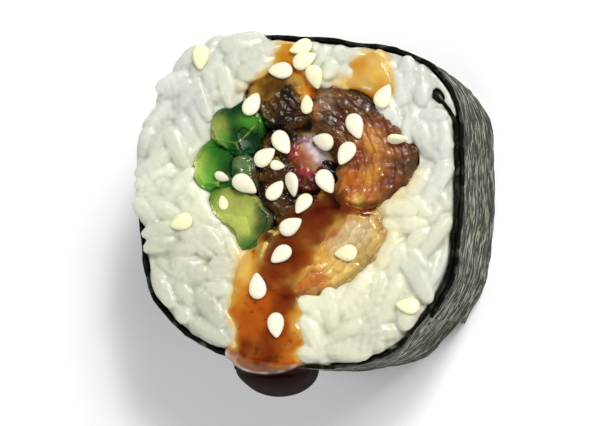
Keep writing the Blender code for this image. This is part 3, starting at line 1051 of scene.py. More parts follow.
@dataclass
class RiceBed:
    """The grains at one cut face, lying side by side in layers over the core.

    Attributes:
        roll: The roll.
        side: Which cut face.
        finish: Material of the grains.
        layers: The layers of grains.
        half_length: Half length of a grain without its round ends, in mm.
        radius: Half width of a grain, in mm.
        rim_overlap: Share of a grain's half width that may pass the edge of the rice.
        lean_in: How far the grains lean over the fillings, in mm.
        middle: Distance from the axis within which they do, in mm.
        clear_of_nori: Distance that they keep from the nori's inner end, in mm.
        starch: Depth under the cut of the bed that the grains stick to, in mm.
        voxel: Mesh size, in mm.
        smoothing: How often the mesh is smoothed.
    """

    roll: Roll
    side: Side
    finish: bpy.types.Material
    layers: tuple[GrainLayer, ...]
    half_length: float = 1.80
    radius: float = 1.50
    rim_overlap: float = 0.12
    lean_in: float = 0.45
    middle: float = 17.0
    clear_of_nori: float = 1.0
    starch: float = 1.3
    voxel: float = 0.21
    smoothing: int = 1
    rounds: int = 90
    shape_count: int = 6

    def _room(self) -> FaceGrid:
        """Distance from every cell to the edge of the rice, in mm, negative outside it."""
        def reached(node: str) -> np.ndarray:
            solid = self.roll.heights([self.roll.nodes[node]], self.side).values
            return solid > self.roll.cut_mm - 4.0 if self.side is Side.TOP else solid < 4.0

        rice, nori = reached("rice"), reached("nori_sheet")
        room = FaceGrid.room_in(rice)
        inner_end = nori & (FaceGrid.room_in(rice | nori).values > 1.8)
        lines = FaceGrid.lines()
        central = np.hypot(lines[:, None], lines[None]) < self.middle
        room.values += self.lean_in * central
        if self.side is Side.TOP:
            # Rice that has spread over the shoulder of the large strip of eel.
            spread = ((lines[:, None] - 14.4) / 2.4) ** 2 + ((lines[None] - 9.8) / 2.8) ** 2
            room.values += 1.3 * np.exp(-spread)
        if inner_end.any():
            away = -FaceGrid.room_in(inner_end).values
            room.values = np.minimum(room.values, away - self.clear_of_nori)
        return room

    def _settled(self, room: FaceGrid, squeeze: float, rng: np.random.Generator) -> tuple[np.ndarray, ...]:
        """Lets one layer of grains push each other into place.

        Args:
            room: Distance to the edge of the rice.
            squeeze: Share of their width that neighbours keep between each other.
            rng: Where the first guess comes from.

        Returns:
            Middles, directions, half lengths as seen from above, and radii.
        """
        area = (room.values > 0.0).sum() * room.pitch ** 2
        standing = 0.03
        each = 4.0 * self.half_length * self.radius * 0.88 + math.pi * self.radius ** 2
        count = int(area / (each * squeeze ** 2))
        guesses = rng.uniform(-24.0, 24.0, (60 * count, 2))
        guesses = guesses[room.sample(guesses) > 0.8]
        middles = [guesses[0]]
        for _ in range(count - 1):
            some = guesses[rng.integers(0, len(guesses), 40)]
            far = np.linalg.norm(some[:, None] - np.array(middles)[None], axis=2).min(axis=1)
            middles.append(some[far.argmax()])
        middles = np.array(middles)
        turns = rng.uniform(0.0, math.pi, count)
        radii = self.radius * rng.uniform(0.80, 1.16, count)
        halves = self.half_length * rng.uniform(0.80, 1.20, count)
        halves[rng.random(count) < standing] *= 0.35
        owner = np.repeat(np.arange(count), 3)
        stops = np.array([-1.0, 0.0, 1.0])
        reach = radii[owner]
        for _ in range(self.rounds):
            way = np.stack([np.cos(turns), np.sin(turns)], axis=1)
            arms = way[:, None, :] * (halves[:, None] * stops)[..., None]
            spots = (middles[:, None, :] + arms).reshape(-1, 2)
            gap = spots[:, None] - spots[None]
            far = np.linalg.norm(gap, axis=2) + 1e-6
            push = np.clip((reach[:, None] + reach[None]) * squeeze - far, 0.0, None)
            push[owner[:, None] == owner[None]] = 0.0
            force = (gap / far[..., None] * push[..., None]).sum(axis=1) * 0.4
            outside = np.clip(reach * (1.0 - self.rim_overlap) - room.sample(spots), 0.0, None)
            force += room.slope(spots) * outside[:, None]
            force = force.reshape(-1, 3, 2)
            middles = middles + force.mean(axis=1)
            twist = (arms[..., 0] * force[..., 1] - arms[..., 1] * force[..., 0]).sum(axis=1)
            turns = turns + np.clip(twist / (2.0 * halves ** 2 + 0.8), -0.25, 0.25)
        fits = (room.sample(spots) > 0.38 * reach).reshape(-1, 3).all(axis=1)
        return middles[fits], turns[fits], halves[fits], radii[fits]

    def _grain_shapes(self) -> list[bpy.types.Object]:
        """Swollen, slightly bent grains, a millimetre across and long enough for their ends."""
        shapes = []
        for index in range(self.shape_count):
            seed = 3.0 + 7.0 * index
            bend = 0.12 * math.sin(2.1 * index)

            def outline(share: float, turn: float, seed: float = seed, bend: float = bend) -> Vector:
                along = 2.0 * share - 1.0
                swell = max(0.0, 1.0 - abs(along) ** 2.5) ** 0.5
                spot = Vector((along * 1.4 + seed, math.cos(turn), math.sin(turn)))
                lump = 1.0 + 0.20 * noise.noise(spot) + 0.10 * noise.noise(spot * 2.3)
                side = swell * lump * (1.0 + 0.12 * along)
                y = side * math.cos(turn) + bend * (1.0 - along ** 2)
                z = side * math.sin(turn) * (0.92 if math.sin(turn) > 0.0 else 1.0)
                return Vector((along, y, z))

            shapes.append(lathe_shape(f"grain_{index}", 8, 10, outline))
        return shapes

    def build(self) -> bpy.types.Object:
        """Makes the grains of this face as one piece."""
        room = self._room()
        rng = np.random.default_rng(11 if self.side is Side.TOP else 23)
        spots, turns, sizes = [], [], []
        plane = self.roll.cut_mm if self.side is Side.TOP else 0.0
        for layer in self.layers:
            middles, ways, halves, radii = self._settled(room, layer.squeeze, rng)
            count = len(middles)
            lean = 0.5 * np.arccos(np.clip(halves / (self.half_length * 1.2), 0.25, 1.0))
            lean *= rng.choice([-1.0, 1.0], count)
            rise = radii * 0.90 + halves * np.abs(np.sin(lean)) * 0.9
            low = layer.depth + rng.uniform(-0.30, 0.30, count)
            height = plane - self.side.value * (low + rise)
            spots.append(np.column_stack([middles, height]))
            turns.append(np.column_stack([rng.uniform(0.0, math.pi, count), lean, ways]))
            length = (halves / np.cos(lean) + radii) * 1.04
            sizes.append(np.column_stack([length, radii * 1.04, radii * rng.uniform(0.94, 1.08, count)]))
        spots, turns, sizes = (np.concatenate(rows) for rows in (spots, turns, sizes))
        count = len(spots)
        name = "rice_grains_top" if self.side is Side.TOP else "rice_grains_base"
        scatter = Scatter(name, self._grain_shapes(), self.finish)
        piece = scatter.build(
            self.roll.to_world(spots), turns, sizes * MM,
            rng.integers(0, self.shape_count, count), rng.random(count),
        )
        self._cut_flat(piece.data)
        self._stick_together(piece)
        self._paint(piece.data)
        return piece

    def _stick_together(self, piece: bpy.types.Object) -> None:
        """Presses the grains into each other and into a bed of starch, keeping each grain's tone."""
        loose = points_of(piece.data)
        tones = np.empty(len(loose))
        piece.data.attributes["tone"].data.foreach_get("value", tones)
        tree = KDTree(len(loose))
        for index, point in enumerate(loose):
            tree.insert(point, index)
        tree.balance()

        bed = self.roll.merged_copy("rice", "bed")
        remesh(bed, 0.6)
        face = self.roll.to_face(points_of(bed.data))
        lumps = 0.35 * wander(face, 2.2, 61.0)
        if self.side is Side.TOP:
            top = self.roll.cut_mm - self.starch
            face[:, 2] = np.clip(face[:, 2], top - 2.2, top + lumps)
        else:
            face[:, 2] = np.clip(face[:, 2], self.starch + lumps, self.starch + 2.2)
        move_points(bed.data, self.roll.to_world(face))
        builder = bmesh.new()
        builder.from_mesh(piece.data)
        builder.from_mesh(bed.data)
        builder.to_mesh(piece.data)
        builder.free()
        bpy.data.objects.remove(bed)
        remesh(piece, self.voxel, self.smoothing)
        near = [tree.find(point)[1] for point in points_of(piece.data)]
        store(piece.data, "tone", "FLOAT", tones[near])
        piece.data.shade_smooth()
        piece.data.materials.clear()
        piece.data.materials.append(self.finish)

    def _cut_flat(self, mesh: bpy.types.Mesh) -> None:
        """Presses down what stands past the cut, as the knife and the board do."""
        face = self.roll.to_face(points_of(mesh))
        soft = 0.30
        if self.side is Side.TOP:
            limit = self.roll.cut_mm - 0.20 + 0.22 * wander(face[:, :2], 3.5, 71.0)
            limit -= 0.45 * smooth_step(glaze_thickness(face), 0.1, 0.6)
            over = np.clip(face[:, 2] - limit, 0.0, None)
            face[:, 2] += soft * (1.0 - np.exp(-over / soft)) - over
        else:
            under = np.clip(0.45 - face[:, 2], 0.0, None)
            face[:, 2] += under - 0.43 * (1.0 - np.exp(-under / 0.43))
            face[:, 2] = np.maximum(face[:, 2], 0.02)
        move_points(mesh, self.roll.to_world(face))

    def _paint(self, mesh: bpy.types.Mesh) -> None:
        """Tints the grains, golden where glaze has soaked in, with painted shade in the creases and towards the rim."""
        face = self.roll.to_face(points_of(mesh))
        colour = blend_dabs(face, Hue.RICE, RICE_DABS)
        # Painted shade: the rice is darker and a little cooler towards the rim.
        rim = smooth_step(np.hypot(face[:, 0], face[:, 1]), 14.5, 20.0)[:, None]
        colour *= 1.0 - rim * np.array([0.11, 0.105, 0.08])
        if self.side is Side.TOP:
            soaked = 0.8 * smooth_step(glaze_thickness(face * np.array([0.97, 0.97, 1.0])), 0.0, 0.4)[:, None]
            colour = colour * (1.0 - soaked) + np.array(Hue.RICE_STAINED.value) * soaked
        # Painted shade: the grains are darkened and tinted grey-green in the creases between them.
        heights = self.roll.heights_of(mesh, self.side)
        crease = (heights.blurred(0.9).sample(face) - face[:, 2]) * self.side.value
        crease_shade = smooth_step(crease, 0.05, 0.9)[:, None]
        colour *= 1.0 - crease_shade * np.array([0.36, 0.35, 0.48])
        store(mesh, "paint", "FLOAT_COLOR", colour)


@dataclass
class RiceCore:
    """The mass of rice behind the grains, a little smaller than the rice's solid."""

    roll: Roll
    finish: bpy.types.Material
    sink: float = 2.6
    voxel: float = 0.6

    def build(self) -> bpy.types.Object:
        """Makes the core from the rice's solid, lowered under both cuts."""
        piece = self.roll.merged_copy("rice", "rice_core")
        remesh(piece, self.voxel)
        mesh = piece.data
        face = self.roll.to_face(points_of(mesh))
        lumps = 0.35 * wander(face, 2.2, 61.0)
        face[:, 2] = np.clip(face[:, 2], self.sink + lumps, self.roll.cut_mm - self.sink + lumps)
        move_points(mesh, self.roll.to_world(face))
        store(mesh, "paint", "FLOAT_COLOR", blend_dabs(face, Hue.RICE, RICE_DABS))
        store(mesh, "tone", "FLOAT", np.full(len(face), 0.3))
        mesh.shade_smooth()
        mesh.materials.clear()
        mesh.materials.append(self.finish)
        return piece


# ------------------------------------------------------------------ nori

@dataclass
class NoriSheet:
    """The crinkled sheet, with a ragged cut edge.

    Attributes:
        roll: The roll.
        finish: Material of the sheet.
        crinkle: How far the wide folds stand in or out, in mm.
        pucker: The same for the small ones.
        tear: How far the cut edge strays up or down, in mm.
        dip: How far the edge dips under the lip of rice, in mm.
        outer_end: Direction of the sheet's outer end, in degrees.
    """

    roll: Roll
    finish: bpy.types.Material
    crinkle: float = 0.20
    pucker: float = 0.12
    tear: float = 0.28
    dip: float = 1.7
    outer_end: float = -45.0

    def build(self) -> bpy.types.Object:
        """Makes the sheet from its solid, with a fine even mesh."""
        piece = self.roll.merged_copy("nori_sheet", "nori")
        builder = bmesh.new()
        builder.from_mesh(piece.data)
        bmesh.ops.join_triangles(
            builder, faces=builder.faces, angle_face_threshold=0.9, angle_shape_threshold=3.1,
        )
        for cuts, shortest in ((7, 3.0), (1, 0.7)):
            long_edges = [edge for edge in builder.edges if edge.calc_length() > shortest * MM]
            bmesh.ops.subdivide_edges(builder, edges=long_edges, cuts=cuts, use_grid_fill=True)
        bmesh.ops.triangulate(builder, faces=[face for face in builder.faces if len(face.verts) > 4])
        builder.to_mesh(piece.data)
        builder.free()
        self._crease(piece.data)
        piece.data.shade_smooth()
        piece.data.set_sharp_from_angle(angle=math.radians(55.0))
        piece.data.materials.clear()
        piece.data.materials.append(self.finish)
        return piece

    def _crease(self, mesh: bpy.types.Mesh) -> None:
        """Crinkles the sheet, tears its edge and stores its own coordinates."""
        face = self.roll.to_face(points_of(mesh))
        radius = np.linalg.norm(face[:, :2], axis=1)
        outward = face[:, :2] / radius[:, None]
        outside = (normals_of(mesh)[:, :2] * outward).sum(axis=1)
        angle = np.arctan2(face[:, 1], face[:, 0])
        folds = self.crinkle * wander(face, 4.2, 81.0) + self.pucker * wander(face, 1.5, 91.0)
        face[:, :2] += outward * folds[:, None]
        top = smooth_step(face[:, 2], self.roll.cut_mm - 2.5, self.roll.cut_mm - 1.0)
        from_lip = np.mod(angle - math.radians(143.0) + math.pi, 2.0 * math.pi) - math.pi
        under_lip = np.exp(-(from_lip / 0.75) ** 4)
        nicks = self.tear * wander(face[:, :2], 0.9, 101.0) + 0.2 * wander(face[:, :2], 2.6, 111.0)
        inner_end = 1.0 - smooth_step(radius, 20.2, 21.2)
        face[:, 2] += top * (nicks - self.dip * under_lip * (1.0 - inner_end) + 0.6 * inner_end)
        face[:, 2] = np.maximum(face[:, 2], 0.01)
        from_end = np.abs(np.mod(angle - math.radians(self.outer_end) + math.pi, 2.0 * math.pi) - math.pi)
        unrolled = from_end * 22.0
        store(mesh, "sheet", "FLOAT_VECTOR", np.column_stack([unrolled, face[:, 2], radius]) * MM)
        at_edge = smooth_step(face[:, 2] - nicks + self.dip * under_lip, self.roll.cut_mm - 2.0, self.roll.cut_mm - 1.2)
        store(mesh, "outside", "FLOAT", smooth_step(outside, 0.2, 0.7) * (1.0 - 0.85 * at_edge))
        move_points(mesh, self.roll.to_world(face))


# ------------------------------------------------------------------ fillings

CRISP = FillingFinish("cucumber", Cut.CRISP, 0.30, 0.25, 0.20, 0.08, 0.1)
JELLY = FillingFinish("cucumber_jelly", Cut.JELLY, 0.20, 0.35, 0.22, 0.16, 0.6)
FLAKY = FillingFinish("eel_flesh", Cut.FLAKY, 0.34, 0.20, 0.26, 0.22, 0.3)
TENDER = FillingFinish("eel_fillet", Cut.FLAKY, 0.28, 0.35, 0.16, 0.12, 0.5)
STICKY = FillingFinish("eel_skin", Cut.STICKY, 0.24, 0.10, 0.34, 0.26, 0.35)


@dataclass(frozen=True)
class Filling:
    """A stick or strip that runs through the roll.

    Attributes:
        node: Its CAD node.
        name: Name of the piece.
        slot: The record's material slot; not used.
        finish: Its finish.
        ground: Its colour where no dab reaches.
        dabs: Its touches of colour.
        relief: Depth of the folds or flakes on its cut, in mm.
        pitch: Distance from one flake to the next, in mm.
        flake_turn: Direction in which the flakes follow each other, in degrees.
        ragged: How far its outline strays, in mm.
        edge_shade: How dark its very edge is painted, from 0 to 1: painted shade where it meets the rice and its
            neighbours.
        rounding: How far its very edge is pressed down, in mm.
        swell: How far its sides press outwards, in mm.
        bow: Radius of the arcs that the flakes follow, in mm.
        facets: Number of flat cuts that meet on its face.
        voxel: Size of its mesh, in mm.
    """

    node: str
    name: str
    slot: str
    finish: FillingFinish
    ground: Hue
    dabs: tuple[Dab, ...]
    relief: float = 0.30
    pitch: float = 1.2
    flake_turn: float = 0.0
    ragged: float = 0.35
    edge_shade: float = 0.45
    rounding: float = 0.25
    swell: float = 0.20
    bow: float = 8.0
    facets: int = 6
    voxel: float = 0.26

    def _relief(self, face: np.ndarray) -> np.ndarray:
        """Height of the cut's pattern at each point, from 0 in the grooves to 1 on the ridges."""
        small = wander(face, 0.55, 17.0)
        if self.finish.cut is Cut.FLAKY:
            turn = math.radians(self.flake_turn)
            way = np.array([math.cos(turn), math.sin(turn)])
            arm = face[:, :2] - face[:, :2].mean(axis=0) + self.bow * way
            along = np.linalg.norm(arm, axis=1)
            across = self.bow * np.arctan2(arm[:, 1] * way[0] - arm[:, 0] * way[1], arm @ way)
            phase = along / self.pitch + 0.7 * wander(face, 3.2, 13.0) + 0.25 * wander(face, 1.0, 19.0)
            fibres = wander(np.column_stack([along * 2.6, across * 0.8, face[:, 2]]), 1.0, 43.0)
            crumbs = wander(face, 0.9, 47.0) + 0.6 * small
            return 0.72 - 0.45 * (phase - np.floor(phase)) ** 1.5 + 0.16 * fibres + 0.30 * crumbs
        if self.finish.cut is Cut.CRISP:
            return np.clip(1.0 + self._planes(face)[0], 0.0, 1.0) + 0.05 * small
        if self.finish.cut is Cut.STICKY:
            folds = 1.0 - 2.2 * np.abs(wander(face, self.pitch, 23.0))
            creases = 1.0 - 2.2 * np.abs(wander(face, 0.6 * self.pitch, 29.0))
            return np.clip(0.6 * folds + 0.4 * creases, -0.3, 1.2)
        return 0.5 + 0.6 * wander(face, self.pitch, 33.0) + 0.3 * small

    def _planes(self, face: np.ndarray) -> tuple[np.ndarray, ...]:
        """The flat cuts on the face.

        Args:
            face: Points in face millimetres.

        Returns:
            Height of the lowest cut, how far the next one lies over it, and which cut it is.
        """
        rng = np.random.default_rng(len(self.node) + len(self.dabs))
        low, high = face[:, :2].min(axis=0), face[:, :2].max(axis=0)
        stack = []
        for index in range(self.facets):
            middle = rng.uniform(low, high)
            angle = 2.0 * math.pi * (index + rng.uniform(0.0, 0.7)) / self.facets
            way = np.array([math.cos(angle), math.sin(angle)])
            stack.append(0.3 - rng.uniform(0.12, 0.3) * ((face[:, :2] - middle) @ way))
        cuts = np.array(stack)
        order = np.sort(cuts, axis=0)
        return order[0] - 0.4, order[1] - order[0], cuts.argmin(axis=0)

    def build(self, roll: Roll, material: bpy.types.Material) -> bpy.types.Object:
        """Makes the piece from its solid."""
        piece = roll.merged_copy(self.node, self.name)
        solid = roll.heights([piece])
        room = FaceGrid.room_in(solid.values > roll.cut_mm - 6.0)
        remesh(piece, self.voxel, 1)
        mesh = piece.data
        top = points_of(mesh)[:, 2].max()
        builder = bmesh.new()
        builder.from_mesh(mesh)
        near = [edge for edge in builder.edges if min(v.co.z for v in edge.verts) > top - 1.3 * MM]
        bmesh.ops.subdivide_edges(builder, edges=near, cuts=1, use_grid_fill=True)
        bmesh.ops.triangulate(builder, faces=[face for face in builder.faces if len(face.verts) > 4])
        builder.to_mesh(mesh)
        builder.free()

        face = roll.to_face(points_of(mesh))
        normal = normals_of(mesh)
        sideways = 1.0 - smooth_step(np.abs(normal[:, 2]), 0.3, 0.8)
        edge = room.sample(face)
        if self.finish.cut is Cut.CRISP:
            face[:, 2] = np.where(face[:, 2] > top / MM - 0.4, top / MM, face[:, 2])
        stray = self.ragged * (wander(face, 1.5, 37.0) + 0.5 * wander(face, 0.7, 39.0))
        face += normal * ((self.swell + stray) * sideways)[:, None]
        upper = smooth_step(face[:, 2], top / MM - 2.2, top / MM - 0.9)
        pattern = self._relief(face)
        face[:, 2] += upper * self.relief * (pattern - 1.0)
        face[:, 2] -= upper * self.rounding * (1.0 - smooth_step(edge, -0.1, 0.7))
        face[:, 2] = np.maximum(face[:, 2], 0.02)
        move_points(mesh, roll.to_world(face))

        # Painted shade in the grooves of the cut, and painted light on its ridges.
        shade = 1.0 + upper * 0.55 * (np.clip(pattern, 0.0, 1.0) - 0.6)
        # Painted shade along the edge, where the piece meets the rice and its neighbours.
        shade *= 1.0 - self.edge_shade * (1.0 - smooth_step(edge, 0.0, 0.9))
        colour = blend_dabs(face, self.ground, self.dabs, self.ragged) * shade[:, None]
        if self.finish.cut is Cut.CRISP:
            _, rise, which = self._planes(face)
            colour *= (1.0 + 0.55 * np.mod(which * 0.618, 1.0))[:, None]
            line = np.exp(-(rise / 0.03) ** 2) * smooth_step(wander(face, 2.2, 53.0), -0.3, 0.3)
            colour += (0.45 * upper * line)[:, None] * (np.array(Hue.LIME_EDGE.value) - colour)
        store(mesh, "paint", "FLOAT_COLOR", colour)
        mesh.shade_smooth()
        if self.finish.cut is Cut.CRISP:
            mesh.set_sharp_from_angle(angle=math.radians(38.0))
        mesh.materials.clear()
        mesh.materials.append(material)
        return piece


FILLINGS = (
    Filling("cucumber_upper", "cucumber_stick_upper", "cucumber", CRISP, Hue.SKIN_GREEN, (
        Dab(-12.0, 9.4, 1.6, Hue.LIME_FLESH), Dab(-10.6, 8.2, 1.0, Hue.LEAF),
        Dab(-8.4, 8.4, 1.6, Hue.DEEP_GREEN), Dab(-6.9, 10.8, 1.3, Hue.LEAF),
        Dab(-6.4, 8.0, 1.2, Hue.DEEP_GREEN), Dab(-8.6, 12.6, 1.3, Hue.DEEP_GREEN),
    ), 0.70, ragged=0.12, edge_shade=0.10, rounding=0.0, swell=0.42, facets=4),
    Filling("cucumber_middle", "cucumber_stick_middle", "cucumber", CRISP, Hue.LEAF, (
        Dab(-14.4, 4.8, 1.5, Hue.LIME_EDGE), Dab(-12.8, 4.6, 1.4, Hue.LEAF),
        Dab(-10.6, 6.6, 1.5, Hue.SKIN_GREEN), Dab(-9.6, 4.6, 1.4, Hue.DEEP_GREEN),
        Dab(-10.6, 2.4, 1.2, Hue.SKIN_GREEN),
    ), 0.70, ragged=0.12, edge_shade=0.10, rounding=0.0, swell=0.42),
    Filling("cucumber_core", "cucumber_seed_part", "cucumber", JELLY, Hue.SEED_JELLY, (
        Dab(-8.3, 5.2, 0.7, Hue.JELLY_LIGHT), Dab(-7.0, 4.2, 0.6, Hue.JELLY_LIGHT),
        Dab(-8.9, 3.4, 0.8, Hue.SKIN_GREEN), Dab(-7.4, 2.2, 0.9, Hue.DEEP_GREEN),
        Dab(-6.0, 3.4, 0.8, Hue.OLIVE_BROWN),
    ), 0.45, 1.0, ragged=0.3, edge_shade=0.4),
    Filling("cucumber_lower", "cucumber_stick_lower", "cucumber", CRISP, Hue.LIME_FLESH, (
        Dab(-12.4, 0.6, 1.4, Hue.LEAF), Dab(-10.6, -0.8, 1.6, Hue.LIME_EDGE),
        Dab(-8.4, -2.0, 2.0, Hue.LIME_FLESH), Dab(-4.4, -1.4, 1.4, Hue.DEEP_GREEN),
        Dab(-6.8, -6.4, 1.3, Hue.SKIN_GREEN), Dab(-4.8, -3.8, 1.2, Hue.DEEP_GREEN),
        Dab(-8.2, 1.8, 0.9, Hue.SKIN_GREEN),
    ), 0.70, ragged=0.12, edge_shade=0.10, rounding=0.0, swell=0.42),
    Filling("eel_upper_left", "eel_strip_upper_left", "eel", STICKY, Hue.UMBER, (
        Dab(-5.9, 14.8, 1.2, Hue.OCHRE), Dab(-3.9, 15.4, 1.2, Hue.OLIVE_BROWN),
        Dab(-1.9, 14.2, 1.2, Hue.BLACK_BROWN), Dab(0.4, 15.0, 1.0, Hue.HONEY),
        Dab(-4.6, 12.6, 1.6, Hue.OLIVE_BROWN), Dab(-2.6, 12.4, 1.0, Hue.UMBER),
        Dab(-2.4, 10.6, 1.5, Hue.BLACK_BROWN), Dab(0.4, 12.0, 1.0, Hue.UMBER),
        Dab(-5.6, 10.4, 1.0, Hue.SKIN_GREEN),
    ), 0.55, 1.3),
    Filling("eel_upper_right", "eel_strip_upper_right", "eel", FLAKY, Hue.FLESH, (
        # The first dab is grey-brown skin with its glints painted in.
        Dab(3.8, 13.2, 1.2, Hue.GRILL_GREY), Dab(5.4, 12.4, 1.0, Hue.UMBER), Dab(4.4, 10.4, 1.6, Hue.BLACK_BROWN),
        Dab(7.4, 13.0, 1.6, Hue.UMBER), Dab(9.8, 12.4, 1.6, Hue.BLACK_BROWN), Dab(10.6, 10.6, 1.2, Hue.CHESTNUT),
        Dab(6.2, 10.6, 1.2, Hue.MAROON), Dab(5.6, 8.2, 1.5, Hue.MAROON), Dab(5.2, 5.6, 1.2, Hue.BLACK_BROWN),
        Dab(12.4, 9.6, 1.3, Hue.CHESTNUT), Dab(10.4, 8.2, 1.3, Hue.FLESH), Dab(11.6, 6.4, 1.4, Hue.FLESH),
        Dab(10.2, 4.4, 1.4, Hue.FLESH), Dab(14.2, 6.4, 1.2, Hue.CHESTNUT), Dab(14.0, 4.4, 1.3, Hue.UMBER),
        Dab(12.4, 2.0, 1.4, Hue.CHESTNUT), Dab(8.8, 1.2, 1.5, Hue.FLESH_RED), Dab(7.4, 2.8, 1.2, Hue.AMBER),
        Dab(8.6, 5.6, 1.2, Hue.BRICK), Dab(7.4, 4.4, 1.0, Hue.CHESTNUT), Dab(9.2, 2.5, 0.9, Hue.OCHRE), Dab(6.4, 0.4, 1.1, Hue.AMBER), Dab(9.8, 6.9, 0.8, Hue.OCHRE),
        Dab(11.9, 8.6, 0.9, Hue.CHESTNUT), Dab(10.6, 3.4, 0.8, Hue.OCHRE), Dab(12.9, 7.4, 0.7, Hue.AMBER),
        Dab(9.4, 4.8, 0.6, Hue.CHESTNUT), Dab(12.0, 4.6, 0.8, Hue.CHESTNUT), Dab(7.9, 0.0, 0.7, Hue.STRAW),
    ), 0.55, 1.35, 20.0, 0.55, 0.55),
    Filling("eel_centre", "eel_strip_centre", "eel", STICKY, Hue.BLACK_BROWN, (
        # Rose sheen and mauve highlights painted on the glossy strip.
        Dab(-0.4, 6.2, 1.1, Hue.ROSE), Dab(0.9, 4.4, 1.2, Hue.ROSE), Dab(1.0, 7.4, 1.1, Hue.MAUVE),
        Dab(2.0, 6.0, 0.9, Hue.MAUVE), Dab(3.8, 6.0, 1.3, Hue.BLACK_BROWN), Dab(-4.6, 6.6, 1.4, Hue.OLIVE_BROWN),
        Dab(-3.6, 3.6, 1.6, Hue.UMBER), Dab(2.2, 2.6, 1.2, Hue.MAROON), Dab(0.6, 1.8, 0.8, Hue.CHESTNUT), Dab(-2.6, 8.4, 1.2, Hue.BLACK_BROWN),
    ), 0.55, 1.5),
    Filling("eel_strip", "eel_strip_thin", "eel", STICKY, Hue.UMBER, (
        Dab(-4.4, -0.2, 1.2, Hue.UMBER), Dab(-2.6, -1.2, 1.0, Hue.OLIVE_BROWN),
        Dab(-1.0, 0.4, 1.0, Hue.BLACK_BROWN), Dab(1.2, -0.2, 1.3, Hue.MAROON), Dab(3.4, 0.2, 1.5, Hue.OX_RED),
    ), 0.45, 1.2),
    Filling("eel_lower", "eel_strip_lower", "eel", TENDER, Hue.STRAW, (
        Dab(1.2, -4.0, 1.8, Hue.OX_RED), Dab(3.6, -2.6, 1.3, Hue.BRICK), Dab(6.0, -2.2, 1.2, Hue.FLESH_RED),
        Dab(8.8, -2.2, 0.9, Hue.OCHRE), Dab(11.0, -3.6, 0.9, Hue.OCHRE), Dab(4.6, -4.8, 1.2, Hue.AMBER),
        Dab(9.4, -3.8, 1.3, Hue.BUFF),
        Dab(7.6, -4.6, 1.5, Hue.CREAM), Dab(5.6, -6.2, 1.5, Hue.CREAM), Dab(8.8, -6.9, 1.4, Hue.TAN),
        Dab(3.0, -7.4, 1.4, Hue.OCHRE), Dab(4.6, -8.8, 1.5, Hue.STRAW), Dab(2.6, -10.4, 1.3, Hue.AMBER),
        Dab(0.0, -6.0, 1.6, Hue.OX_RED), Dab(-2.4, -9.4, 2.0, Hue.RUST), Dab(8.6, -8.6, 1.2, Hue.TAN),
        Dab(0.2, -11.8, 1.4, Hue.AMBER),
    ), 0.34, 1.5, -58.0, 0.35, 0.30, bow=14.0),
)


# ------------------------------------------------------------------ glaze

